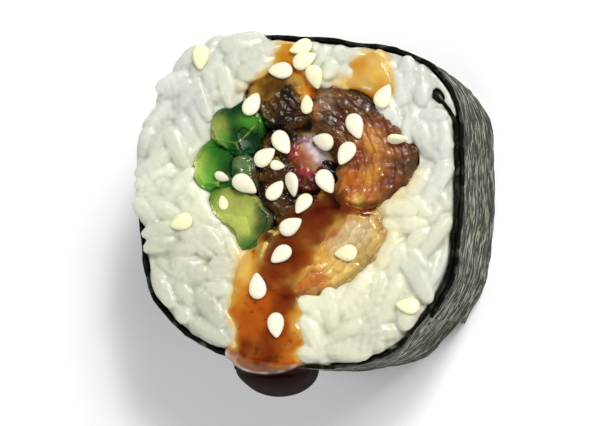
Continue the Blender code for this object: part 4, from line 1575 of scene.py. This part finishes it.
GLAZE_DABS = (
    Dab(-7.4, -9.4, 1.4, Hue.STRAW), Dab(-8.8, -12.8, 1.5, Hue.OCHRE), Dab(-7.4, -16.2, 2.0, Hue.AMBER),
    Dab(-5.2, -13.2, 2.0, Hue.AMBER), Dab(-1.4, -12.8, 1.6, Hue.OX_RED), Dab(-3.0, -17.4, 1.8, Hue.RUST),
    Dab(-7.4, -19.4, 1.2, Hue.BRICK), Dab(-4.6, -20.2, 1.6, Hue.BRICK), Dab(0.2, -16.4, 1.2, Hue.HONEY),
    Dab(-0.8, -19.6, 1.2, Hue.AMBER), Dab(-3.6, -10.4, 1.8, Hue.BRICK), Dab(-0.6, -7.6, 2.0, Hue.OX_RED),
    Dab(-3.2, -7.4, 1.6, Hue.OX_RED), Dab(-2.6, -14.2, 1.2, Hue.BRICK), Dab(1.6, -3.4, 2.0, Hue.OX_RED), Dab(4.6, -0.6, 1.6, Hue.MAROON),
    # The near-black dabs at (-4.0, -5.0) and (0.3, 9.7) paint dark glaze with the shade of the gaps beside the cucumber
    # and between the strips.
    Dab(3.8, -2.4, 1.2, Hue.OX_RED), Dab(6.2, -1.4, 1.2, Hue.OX_RED), Dab(9.0, -2.0, 1.2, Hue.OX_RED), Dab(-1.4, -4.8, 1.6, Hue.OX_RED), Dab(3.0, -1.4, 1.6, Hue.OX_RED), Dab(-4.0, -5.0, 1.2, Hue.TAR),
    # Rose sheen and lilac highlights painted on the middle strip, on this line and the next.
    Dab(0.3, 9.7, 1.8, Hue.TAR), Dab(0.2, 5.6, 1.1, Hue.ROSE), Dab(1.7, 7.2, 1.2, Hue.LILAC),
    Dab(2.4, 5.7, 1.1, Hue.LILAC), Dab(1.2, 4.2, 0.9, Hue.ROSE),
    Dab(2.2, 3.6, 1.2, Hue.MAROON), Dab(4.6, 8.0, 1.8, Hue.MAROON), Dab(-3.4, 3.4, 1.8, Hue.BLACK_BROWN),
    Dab(-2.0, 19.6, 1.6, Hue.OCHRE), Dab(0.2, 17.0, 1.2, Hue.HONEY), Dab(-6.8, 14.4, 0.9, Hue.OCHRE), Dab(-5.6, 17.0, 0.9, Hue.OCHRE), Dab(-4.2, 15.2, 1.9, Hue.OLIVE_BROWN),
    Dab(-2.2, 15.0, 1.8, Hue.UMBER),
    Dab(0.8, 14.4, 1.2, Hue.HONEY), Dab(8.6, 17.8, 1.6, Hue.OCHRE), Dab(11.2, 16.6, 1.8, Hue.STRAW), Dab(9.2, 16.2, 1.2, Hue.STRAW),
    # The small cream dab at (10.0, 18.0) is a painted highlight in the honey drop.
    Dab(10.8, 14.4, 1.2, Hue.HONEY), Dab(10.0, 18.0, 0.55, Hue.CREAM),
    Dab(-1.5, 9.6, 1.2, Hue.BLACK_BROWN), Dab(1.8, 10.2, 1.3, Hue.BLACK_BROWN), Dab(4.5, 6.2, 1.2, Hue.BLACK_BROWN),
    # More rose sheen painted on the middle strip.
    Dab(0.0, 6.3, 0.9, Hue.ROSE), Dab(0.7, 5.2, 0.9, Hue.ROSE), Dab(-0.8, 4.6, 1.0, Hue.MAROON),
    Dab(-4.4, 2.8, 1.2, Hue.UMBER), Dab(-2.6, 3.2, 1.2, Hue.UMBER), Dab(-4.6, 7.2, 1.2, Hue.OLIVE_BROWN),
    Dab(-1.0, -1.4, 1.3, Hue.MAROON), Dab(4.8, 0.5, 1.2, Hue.MAROON), Dab(6.3, 0.8, 1.0, Hue.CHESTNUT),
    Dab(-2.2, -2.4, 1.2, Hue.MAROON), Dab(1.8, -0.8, 1.2, Hue.MAROON), Dab(2.7, -5.4, 1.2, Hue.BRICK),
    Dab(1.3, -8.4, 1.1, Hue.RUST),
    # Painted highlights on the middle strip: a mauve one here, and two white glints on the next line.
    Dab(-3.8, -4.4, 1.1, Hue.MAROON), Dab(2.3, 4.6, 0.9, Hue.MAUVE),
    Dab(2.2, 5.3, 0.5, Hue.PALE_RIM), Dab(1.3, 7.6, 0.45, Hue.PALE_RIM),
)


@dataclass
class Glaze:
    """The glaze: a film that settles between the grains, and the drip over the rim.

    Attributes:
        roll: The roll.
        finish: Its material.
        pitch: Mesh size, in mm.
        sunk: How far the film's border dives under the grains, in mm.
        bottom: How far under its surface the film ends, in mm.
    """

    roll: Roll
    finish: bpy.types.Material
    pitch: float = 0.25
    sunk: float = 0.45
    bottom: float = 1.6

    def _film(self, builder: bmesh.types.BMesh, ground: FaceGrid) -> None:
        """Adds the film over the cut face, as a closed sheet that follows the food under it."""
        lines = FaceGrid.lines()
        xs, ys = np.meshgrid(lines, lines, indexing="ij")
        spots = np.stack([xs.ravel(), ys.ravel()], axis=1)
        thick = glaze_thickness(spots).reshape(xs.shape)
        full = smooth_step(thick, 0.0, 0.35)
        bed = np.maximum(ground.values, self.roll.cut_mm - 1.6)
        top = FaceGrid(bed).blurred(0.8).values + 0.75 * thick - self.sunk * (1.0 - full)
        top = FaceGrid(top).blurred(0.3).values
        on_roll = FaceGrid((ground.values > self.roll.cut_mm - 6.0).astype(float)).blurred(1.2)
        kept_in = 0.5 + 0.35 * smooth_step(ys, -10.0, 10.0)
        wet = (thick > 0.03) & (on_roll.values > kept_in)
        upper: dict[tuple[int, int], bmesh.types.BMVert] = {}
        lower: dict[tuple[int, int], bmesh.types.BMVert] = {}

        def corner(i: int, j: int) -> None:
            if (i, j) not in upper:
                place = np.array([lines[i], lines[j], top[i, j]])
                upper[i, j] = builder.verts.new(self.roll.to_world(place))
                place[2] -= self.bottom
                lower[i, j] = builder.verts.new(self.roll.to_world(place))

        cells = {(i, j) for i, j in zip(*np.nonzero(wet)) if i + 1 < len(lines) and j + 1 < len(lines)}
        for i, j in cells:
            ring = [(i, j), (i + 1, j), (i + 1, j + 1), (i, j + 1)]
            for key in ring:
                corner(*key)
            builder.faces.new([upper[key] for key in ring])
            builder.faces.new([lower[key] for key in reversed(ring)])
            for key, after, (di, dj) in zip(ring, ring[1:] + ring[:1], ((0, -1), (1, 0), (0, 1), (-1, 0))):
                if (i + di, j + dj) not in cells:
                    builder.faces.new((upper[after], upper[key], lower[key], lower[after]))

    def _bead(self, builder: bmesh.types.BMesh, middle: Sequence[float], radii: Sequence[float],
              slim: float = 0.0) -> None:
        """Adds a bead at a place on the face.

        Args:
            builder: Where to add it.
            middle: Its middle, in face millimetres.
            radii: Its half sizes, in mm.
            slim: How much less it stands out at its top, for a bead that hangs from the rim.
        """
        made = bmesh.ops.create_icosphere(builder, subdivisions=4, radius=1.0)["verts"]
        for vert in made:
            x, y, z = vert.co
            above = max(z, 0.0)
            fuller = math.sqrt(1.0 + above ** 2) if slim else 1.0
            spot = (x * fuller, y * fuller * (1.0 - slim * above), z)
            vert.co = self.roll.to_world(np.array(middle) + np.array(spot) * radii)

    def build(self, under: Iterable[bpy.types.Object]) -> bpy.types.Object:
        """Makes the glaze over the finished food.

        Args:
            under: The pieces that it runs over.

        Returns:
            The glaze as one piece.
        """
        ground = self.roll.heights(under)
        builder = bmesh.new()
        cut = self.roll.cut_mm
        self._bead(builder, (-4.6, -21.3, cut - 1.0), (4.8, 1.9, 1.2))
        self._bead(builder, (-8.2, -20.3, cut - 0.9), (2.2, 1.3, 0.9))
        self._bead(builder, (-4.5, -22.2, cut - 2.4), (5.0, 1.2, 2.2))
        self._bead(builder, (-4.4, -22.4, cut - 7.0), (5.4, 3.8, 6.2), 0.5)
        self._film(builder, ground)
        piece = new_object("glaze", builder)
        remesh(piece, self.pitch, 3)
        mesh = piece.data
        face = self.roll.to_face(points_of(mesh))
        depth = face[:, 2] - ground.sample(face)
        out = -face[:, 1] + 0.35 * wander(face, 1.0, 121.0) + 0.6 * np.clip(-6.0 - face[:, 0], 0.0, 3.0)
        past_rim = smooth_step(out, 21.5, 22.5)
        under = self.roll.cut_mm - face[:, 2]
        hanging = smooth_step(out, 21.6, 22.4) * smooth_step(under, 0.35, 1.0)
        store(mesh, "body", "FLOAT", np.maximum(smooth_step(depth, 0.0, 0.8), past_rim))
        store(mesh, "shine", "FLOAT", 1.0 - 0.82 * hanging)
        store(mesh, "paint", "FLOAT_COLOR", self._colour(face, depth, past_rim, hanging))
        mesh.shade_smooth()
        mesh.materials.clear()
        mesh.materials.append(self.finish)
        return piece

    def _colour(self, face: np.ndarray, depth: np.ndarray, past_rim: np.ndarray,
                hanging: np.ndarray) -> np.ndarray:
        """Colours the glaze: deeper where it lies thick, nearly black in the drip with its shade painted in, and a
        painted highlight along the lip.
        """
        dabs = blend_dabs(face, Hue.HONEY, GLAZE_DABS, 0.5)
        colour = dabs ** np.clip(0.9 + 0.5 * depth, 0.85, 1.9)[:, None]
        over_rice = smooth_step(dabs[:, 1], 0.03, 0.12) * (1.0 - smooth_step(dabs[:, 2], 0.13, 0.2))
        thin = (0.7 * over_rice * (1.0 - smooth_step(depth, 0.0, 0.45)))[:, None]
        colour = colour * (1.0 - thin) + np.array(Hue.PALE_GOLD.value) * thin
        specks = smooth_step(wander(face[:, :2], 0.55, 141.0) + 0.4 * wander(face[:, :2], 2.5, 151.0), 0.42, 0.6)
        colour *= (1.0 - 0.5 * specks * smooth_step(-face[:, 1], 8.0, 14.0))[:, None]
        edge = np.hypot((face[:, 0] + 4.6) / 4.8, (face[:, 1] + 21.3) / 1.9)
        # A painted highlight along the lip, broken by noise.
        glint = (smooth_step(edge, 0.78, 0.92) * smooth_step(wander(face, 1.6, 161.0), -0.6, 0.2))[:, None]
        rim = np.array(Hue.WET_RIM.value) * (1.0 - glint) + np.array(Hue.PALE_RIM.value) * glint
        wet = (past_rim * (0.72 + 0.35 * wander(face, 0.8, 131.0)))[:, None]
        colour = colour * (1.0 - wet) + rim * wet
        # The drip is painted near black: the dark glaze, with the shade under the rim painted in.
        return colour * (1.0 - hanging[:, None]) + np.array(Hue.TAR.value) * hanging[:, None]


# ------------------------------------------------------------------ sesame

@dataclass(frozen=True)
class Seed:
    """One sesame seed on the cut face.

    Attributes:
        x: To the right of the axis, in mm.
        y: Up the face, in mm.
        tip: Direction of its pointed end, in degrees.
        tone: 0 for cream, 1 for toasted.
        size: Share of a whole seed's size.
        roll: Turn about its own length, in degrees.
        sunk: How far it is pressed in, in mm.
    """

    x: float
    y: float
    tip: float
    tone: float = 0.2
    size: float = 1.0
    roll: float = 0.0
    sunk: float = 0.0


SEEDS = (
    Seed(-13.4, 19.3, -95, 0.9), Seed(0.3, 20.3, 200, 0.7, 0.95), Seed(0.9, 18.5, 25, 0.6),
    Seed(-2.5, 17.2, 178, 0.5), Seed(2.2, 16.2, -75, 0.7), Seed(1.0, 12.7, 95, 0.8, 0.8, 0, 0.25),
    Seed(-6.5, 12.9, 60, 0.3), Seed(11.7, 13.4, 65, 0.6), Seed(7.8, 9.5, -70, 0.1, 1.05),
    Seed(-2.4, 7.7, -60, 0.1, 1.05), Seed(3.3, 7.7, 165, 0.2), Seed(-4.8, 5.8, 35, 0.3),
    Seed(6.6, 5.9, -120, 0.1), Seed(13.6, 7.6, 0, 0.8, 0.85, 65), Seed(-3.1, 4.6, -10, 0.1, 0.6, 20, 0.1),
    Seed(-10.6, 3.2, -25, 0.3, 0.62, 25, 0.1), Seed(-7.3, 2.0, -35, 0.1, 1.1), Seed(3.6, 2.3, -60, 0.2, 1.05),
    Seed(-3.4, 1.3, 50, 0.3, 0.92), Seed(-1.05, 2.0, -80, 0.2, 1.0, 35), Seed(0.5, -0.6, -120, 0.3, 0.95),
    Seed(-10.5, -0.3, 100, 1.0, 0.6, 0, 0.2), Seed(-16.2, -2.8, 200, 1.0, 1.0, 0, 0.15),
    Seed(-0.9, -3.6, 30, 0.1, 1.0, 30), Seed(-2.2, -7.4, 215, 0.1, 0.95), Seed(6.4, -7.2, 185, 1.0, 0.95, 0, 0.15),
    Seed(-5.5, -11.5, 95, 0.1, 1.05), Seed(-2.9, -16.7, -88, 0.1, 1.0), Seed(14.7, -14.2, 175, 1.0, 0.95, 0, 0.2),
)


@dataclass
class SesameSeeds:
    """The toasted seeds, each laid on what is under it.

    Attributes:
        roll: The roll.
        finish: Material of the seeds.
        half_length: Half length of a seed, in mm.
        half_width: Half width, in mm.
        half_depth: Half thickness, in mm.
    """

    roll: Roll
    finish: bpy.types.Material
    half_length: float = 1.68
    half_width: float = 1.10
    half_depth: float = 0.52

    def _shape(self, name: str, taper: float, bend: float) -> bpy.types.Object:
        """A flat drop, blunt at one end and narrower at the other.

        Args:
            name: Name of the object.
            taper: How much narrower the tip is.
            bend: How far its middle lies to one side.

        Returns:
            The seed, of half length 1.
        """
        def outline(share: float, turn: float) -> Vector:
            along = 2.0 * share - 1.0
            bow = math.sqrt(max(0.0, 1.0 - along ** 2))
            side = bow * (1.02 - taper * along - 0.12 * along ** 2)
            flat = math.copysign(abs(math.sin(turn)) ** 0.85, math.sin(turn))
            y = side * math.cos(turn) + bend * (1.0 - along ** 2)
            return Vector((along, y, bow * flat * (1.0 - 0.25 * along)))
        return lathe_shape(name, 11, 16, outline)

    def build(self, under: Iterable[bpy.types.Object]) -> bpy.types.Object:
        """Lays every seed on the finished food.

        Args:
            under: The pieces that the seeds lie on.

        Returns:
            All seeds as one piece.
        """
        ground = self.roll.heights(under)
        across, along = np.meshgrid(np.linspace(-1.0, 1.0, 9), np.linspace(-1.0, 1.0, 9))
        within = across ** 2 + along ** 2 < 0.8
        across, along = across[within], along[within]
        spots, turns, sizes = [], [], []
        for seed in SEEDS:
            angle = math.radians(seed.tip)
            way = np.array([math.cos(angle), math.sin(angle)])
            side = np.array([-way[1], way[0]])
            half = np.array([self.half_length, self.half_width, self.half_depth]) * seed.size
            foot = np.array([seed.x, seed.y]) + along[:, None] * way * half[0] + across[:, None] * side * half[1]
            rest = ground.sample(foot)
            rest = np.maximum(rest, rest.mean() - 0.6)
            plane = np.column_stack([along * half[0], across * half[1], np.ones(len(rest))])
            rise, bank, level = np.linalg.lstsq(plane, rest, rcond=None)[0]
            rise, bank = np.clip((rise, bank), -0.35, 0.35)
            proud = (rest - rise * plane[:, 0] - bank * plane[:, 1] - level).max()
            height = level + 0.75 * proud + half[2] * 0.75 - seed.sunk
            height += 0.6 * abs(math.sin(math.radians(seed.roll)))
            spots.append((seed.x, seed.y, height))
            turns.append((math.atan(bank) + math.radians(seed.roll), -math.atan(rise), angle))
            sizes.append(half)
        tones = np.array([seed.tone for seed in SEEDS])
        kinds = [self._shape(f"seed_{k}", 0.28 + 0.07 * k, 0.07 * (k - 1)) for k in range(3)]
        scatter = Scatter("sesame_seeds", kinds, self.finish)
        piece = scatter.build(
            self.roll.to_world(np.array(spots)), np.array(turns), np.array(sizes) * MM,
            np.arange(len(SEEDS)) * 2 % len(kinds), tones,
        )
        face = self.roll.to_face(points_of(piece.data))
        # The foot of each seed is tinted brown: glaze soaked in where glaze lies, and a faint painted shade where it
        # rests on bare food.
        foot = 1.0 - smooth_step(face[:, 2] - ground.sample(face), 0.0, 0.5)
        glazed = 0.1 + 0.9 * smooth_step(glaze_thickness(face), 0.0, 0.3)
        store(piece.data, "foot", "FLOAT", 0.75 * foot * glazed)
        return piece


# ------------------------------------------------------------------ studio

@dataclass
class Studio:
    """Pale floor, soft light and the camera, none of them part of the food.

    Attributes:
        roll: The roll, which the camera looks at.
        distance: From the camera to the cut face, in metres.
        lean: Angle between the roll's axis and the camera's, in degrees.
        bearing: Direction in which the camera leans, in degrees from +X.
        view_height: Height of the frame at the face, in metres.
    """

    roll: Roll
    distance: float = 0.37
    lean: float = 14.0
    bearing: float = -16.0
    view_height: float = 0.0565
    frame_shape: tuple[int, int] = (600, 426)

    def _floor(self) -> None:
        """A wide matt board under the piece."""
        builder = bmesh.new()
        bmesh.ops.create_grid(builder, x_segments=1, y_segments=1, size=1.2)
        floor = new_object("floor", builder)
        bench = Bench("pale_floor")
        floor.data.materials.append(bench.dress(Base_Color=srgb(250, 250, 251), Roughness=0.7))
        floor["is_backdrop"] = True

    def _lamp(self, name: str, place: Sequence[float], size: float, power: float, tint: Colour,
              mirrored: bool = True) -> None:
        """A square soft light that looks at the piece, and may stay out of its reflections."""
        data = bpy.data.lights.new(name, "AREA")
        data.shape = "SQUARE"
        data.size = size
        data.energy = power
        data.color = tint
        lamp = bpy.data.objects.new(name, data)
        lamp.location = place
        aim = Vector((0.0, 0.0, self.roll.cut)) - Vector(place)
        lamp.rotation_euler = aim.to_track_quat("-Z", "Y").to_euler()
        lamp.visible_glossy = mirrored
        bpy.context.scene.collection.objects.link(lamp)

    def _camera(self) -> None:
        """Looks down on the cut face, leaning to the side where the nori shows."""
        lean, bearing = math.radians(self.lean), math.radians(self.bearing)
        back = Vector((
            math.sin(lean) * math.cos(bearing), math.sin(lean) * math.sin(bearing), math.cos(lean),
        ))
        centre = (self.roll.low + self.roll.high) / 2.0
        target = Vector((centre.x + 0.6 * MM, centre.y, self.roll.cut))
        data = bpy.data.cameras.new("camera")
        data.sensor_width = 36.0
        wide, high = self.frame_shape
        data.lens = data.sensor_width * self.distance / (self.view_height * wide / high)
        camera = bpy.data.objects.new("camera", data)
        camera.location = target + back * self.distance
        right = Vector((0.0, 1.0, 0.0)).cross(back).normalized()
        up = back.cross(right)
        camera.rotation_euler = Matrix((right, up, back)).transposed().to_euler()
        bpy.context.scene.collection.objects.link(camera)
        bpy.context.scene.camera = camera

    def build(self) -> None:
        """Sets up the stage."""
        self._floor()
        self._lamp("key", (0.22, 0.26, 0.40), 0.26, 1.9, (1.0, 0.99, 0.97))
        self._lamp("spark", (0.16, 0.24, 0.42), 0.07, 0.75, (1.0, 1.0, 0.98))
        self._lamp("fill", (-0.36, -0.08, 0.38), 0.36, 1.0, (0.97, 0.98, 1.0), False)
        self._lamp("front", (0.06, -0.42, 0.28), 0.30, 0.6, (1.0, 1.0, 1.0), False)
        self._lamp("side", (0.45, -0.16, 0.16), 0.25, 0.5, (1.0, 1.0, 1.0), False)
        world = bpy.data.worlds.new("studio")
        world.use_nodes = True
        backdrop = world.node_tree.nodes["Background"]
        backdrop.inputs["Color"].default_value = (0.96, 0.98, 1.0, 1.0)
        backdrop.inputs["Strength"].default_value = 0.15
        bpy.context.scene.world = world
        bpy.context.scene.view_settings.view_transform = "Standard"
        self._camera()


# ------------------------------------------------------------------ the whole piece

def main() -> None:
    """Builds the piece from the inside out and hands every part over to the frame."""
    logging.basicConfig(level=logging.INFO, format="%(name)s %(message)s")
    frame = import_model()
    roll = Roll.from_frame(frame)
    Studio(roll).build()

    rice = RiceFinish().material()
    core = RiceCore(roll, rice).build()
    layers = {
        Side.TOP: (GrainLayer(-0.25, 0.76), GrainLayer(0.50, 0.80)),
        Side.BASE: (GrainLayer(-0.10, 0.80),),
    }
    grains = {side: RiceBed(roll, side, rice, layers[side]).build() for side in Side}
    nori = NoriSheet(roll, NoriFinish().material()).build()
    finishes = {filling.finish: filling.finish.material() for filling in FILLINGS}
    fillings = {filling.node: filling.build(roll, finishes[filling.finish]) for filling in FILLINGS}
    food = [core, grains[Side.TOP], nori, *fillings.values()]
    glaze = Glaze(roll, GlazeFinish().material()).build(food)
    seeds = SesameSeeds(roll, SeedFinish().material()).build([*food, glaze])

    hand_over(core, ["rice"])
    for bed in grains.values():
        hand_over(bed)
    hand_over(nori, ["nori_sheet"])
    for filling in FILLINGS:
        hand_over(fillings[filling.node], [filling.node])
    hand_over(glaze, ["sauce_drip"])
    hand_over(seeds)


if __name__ == "__main__":
    main()
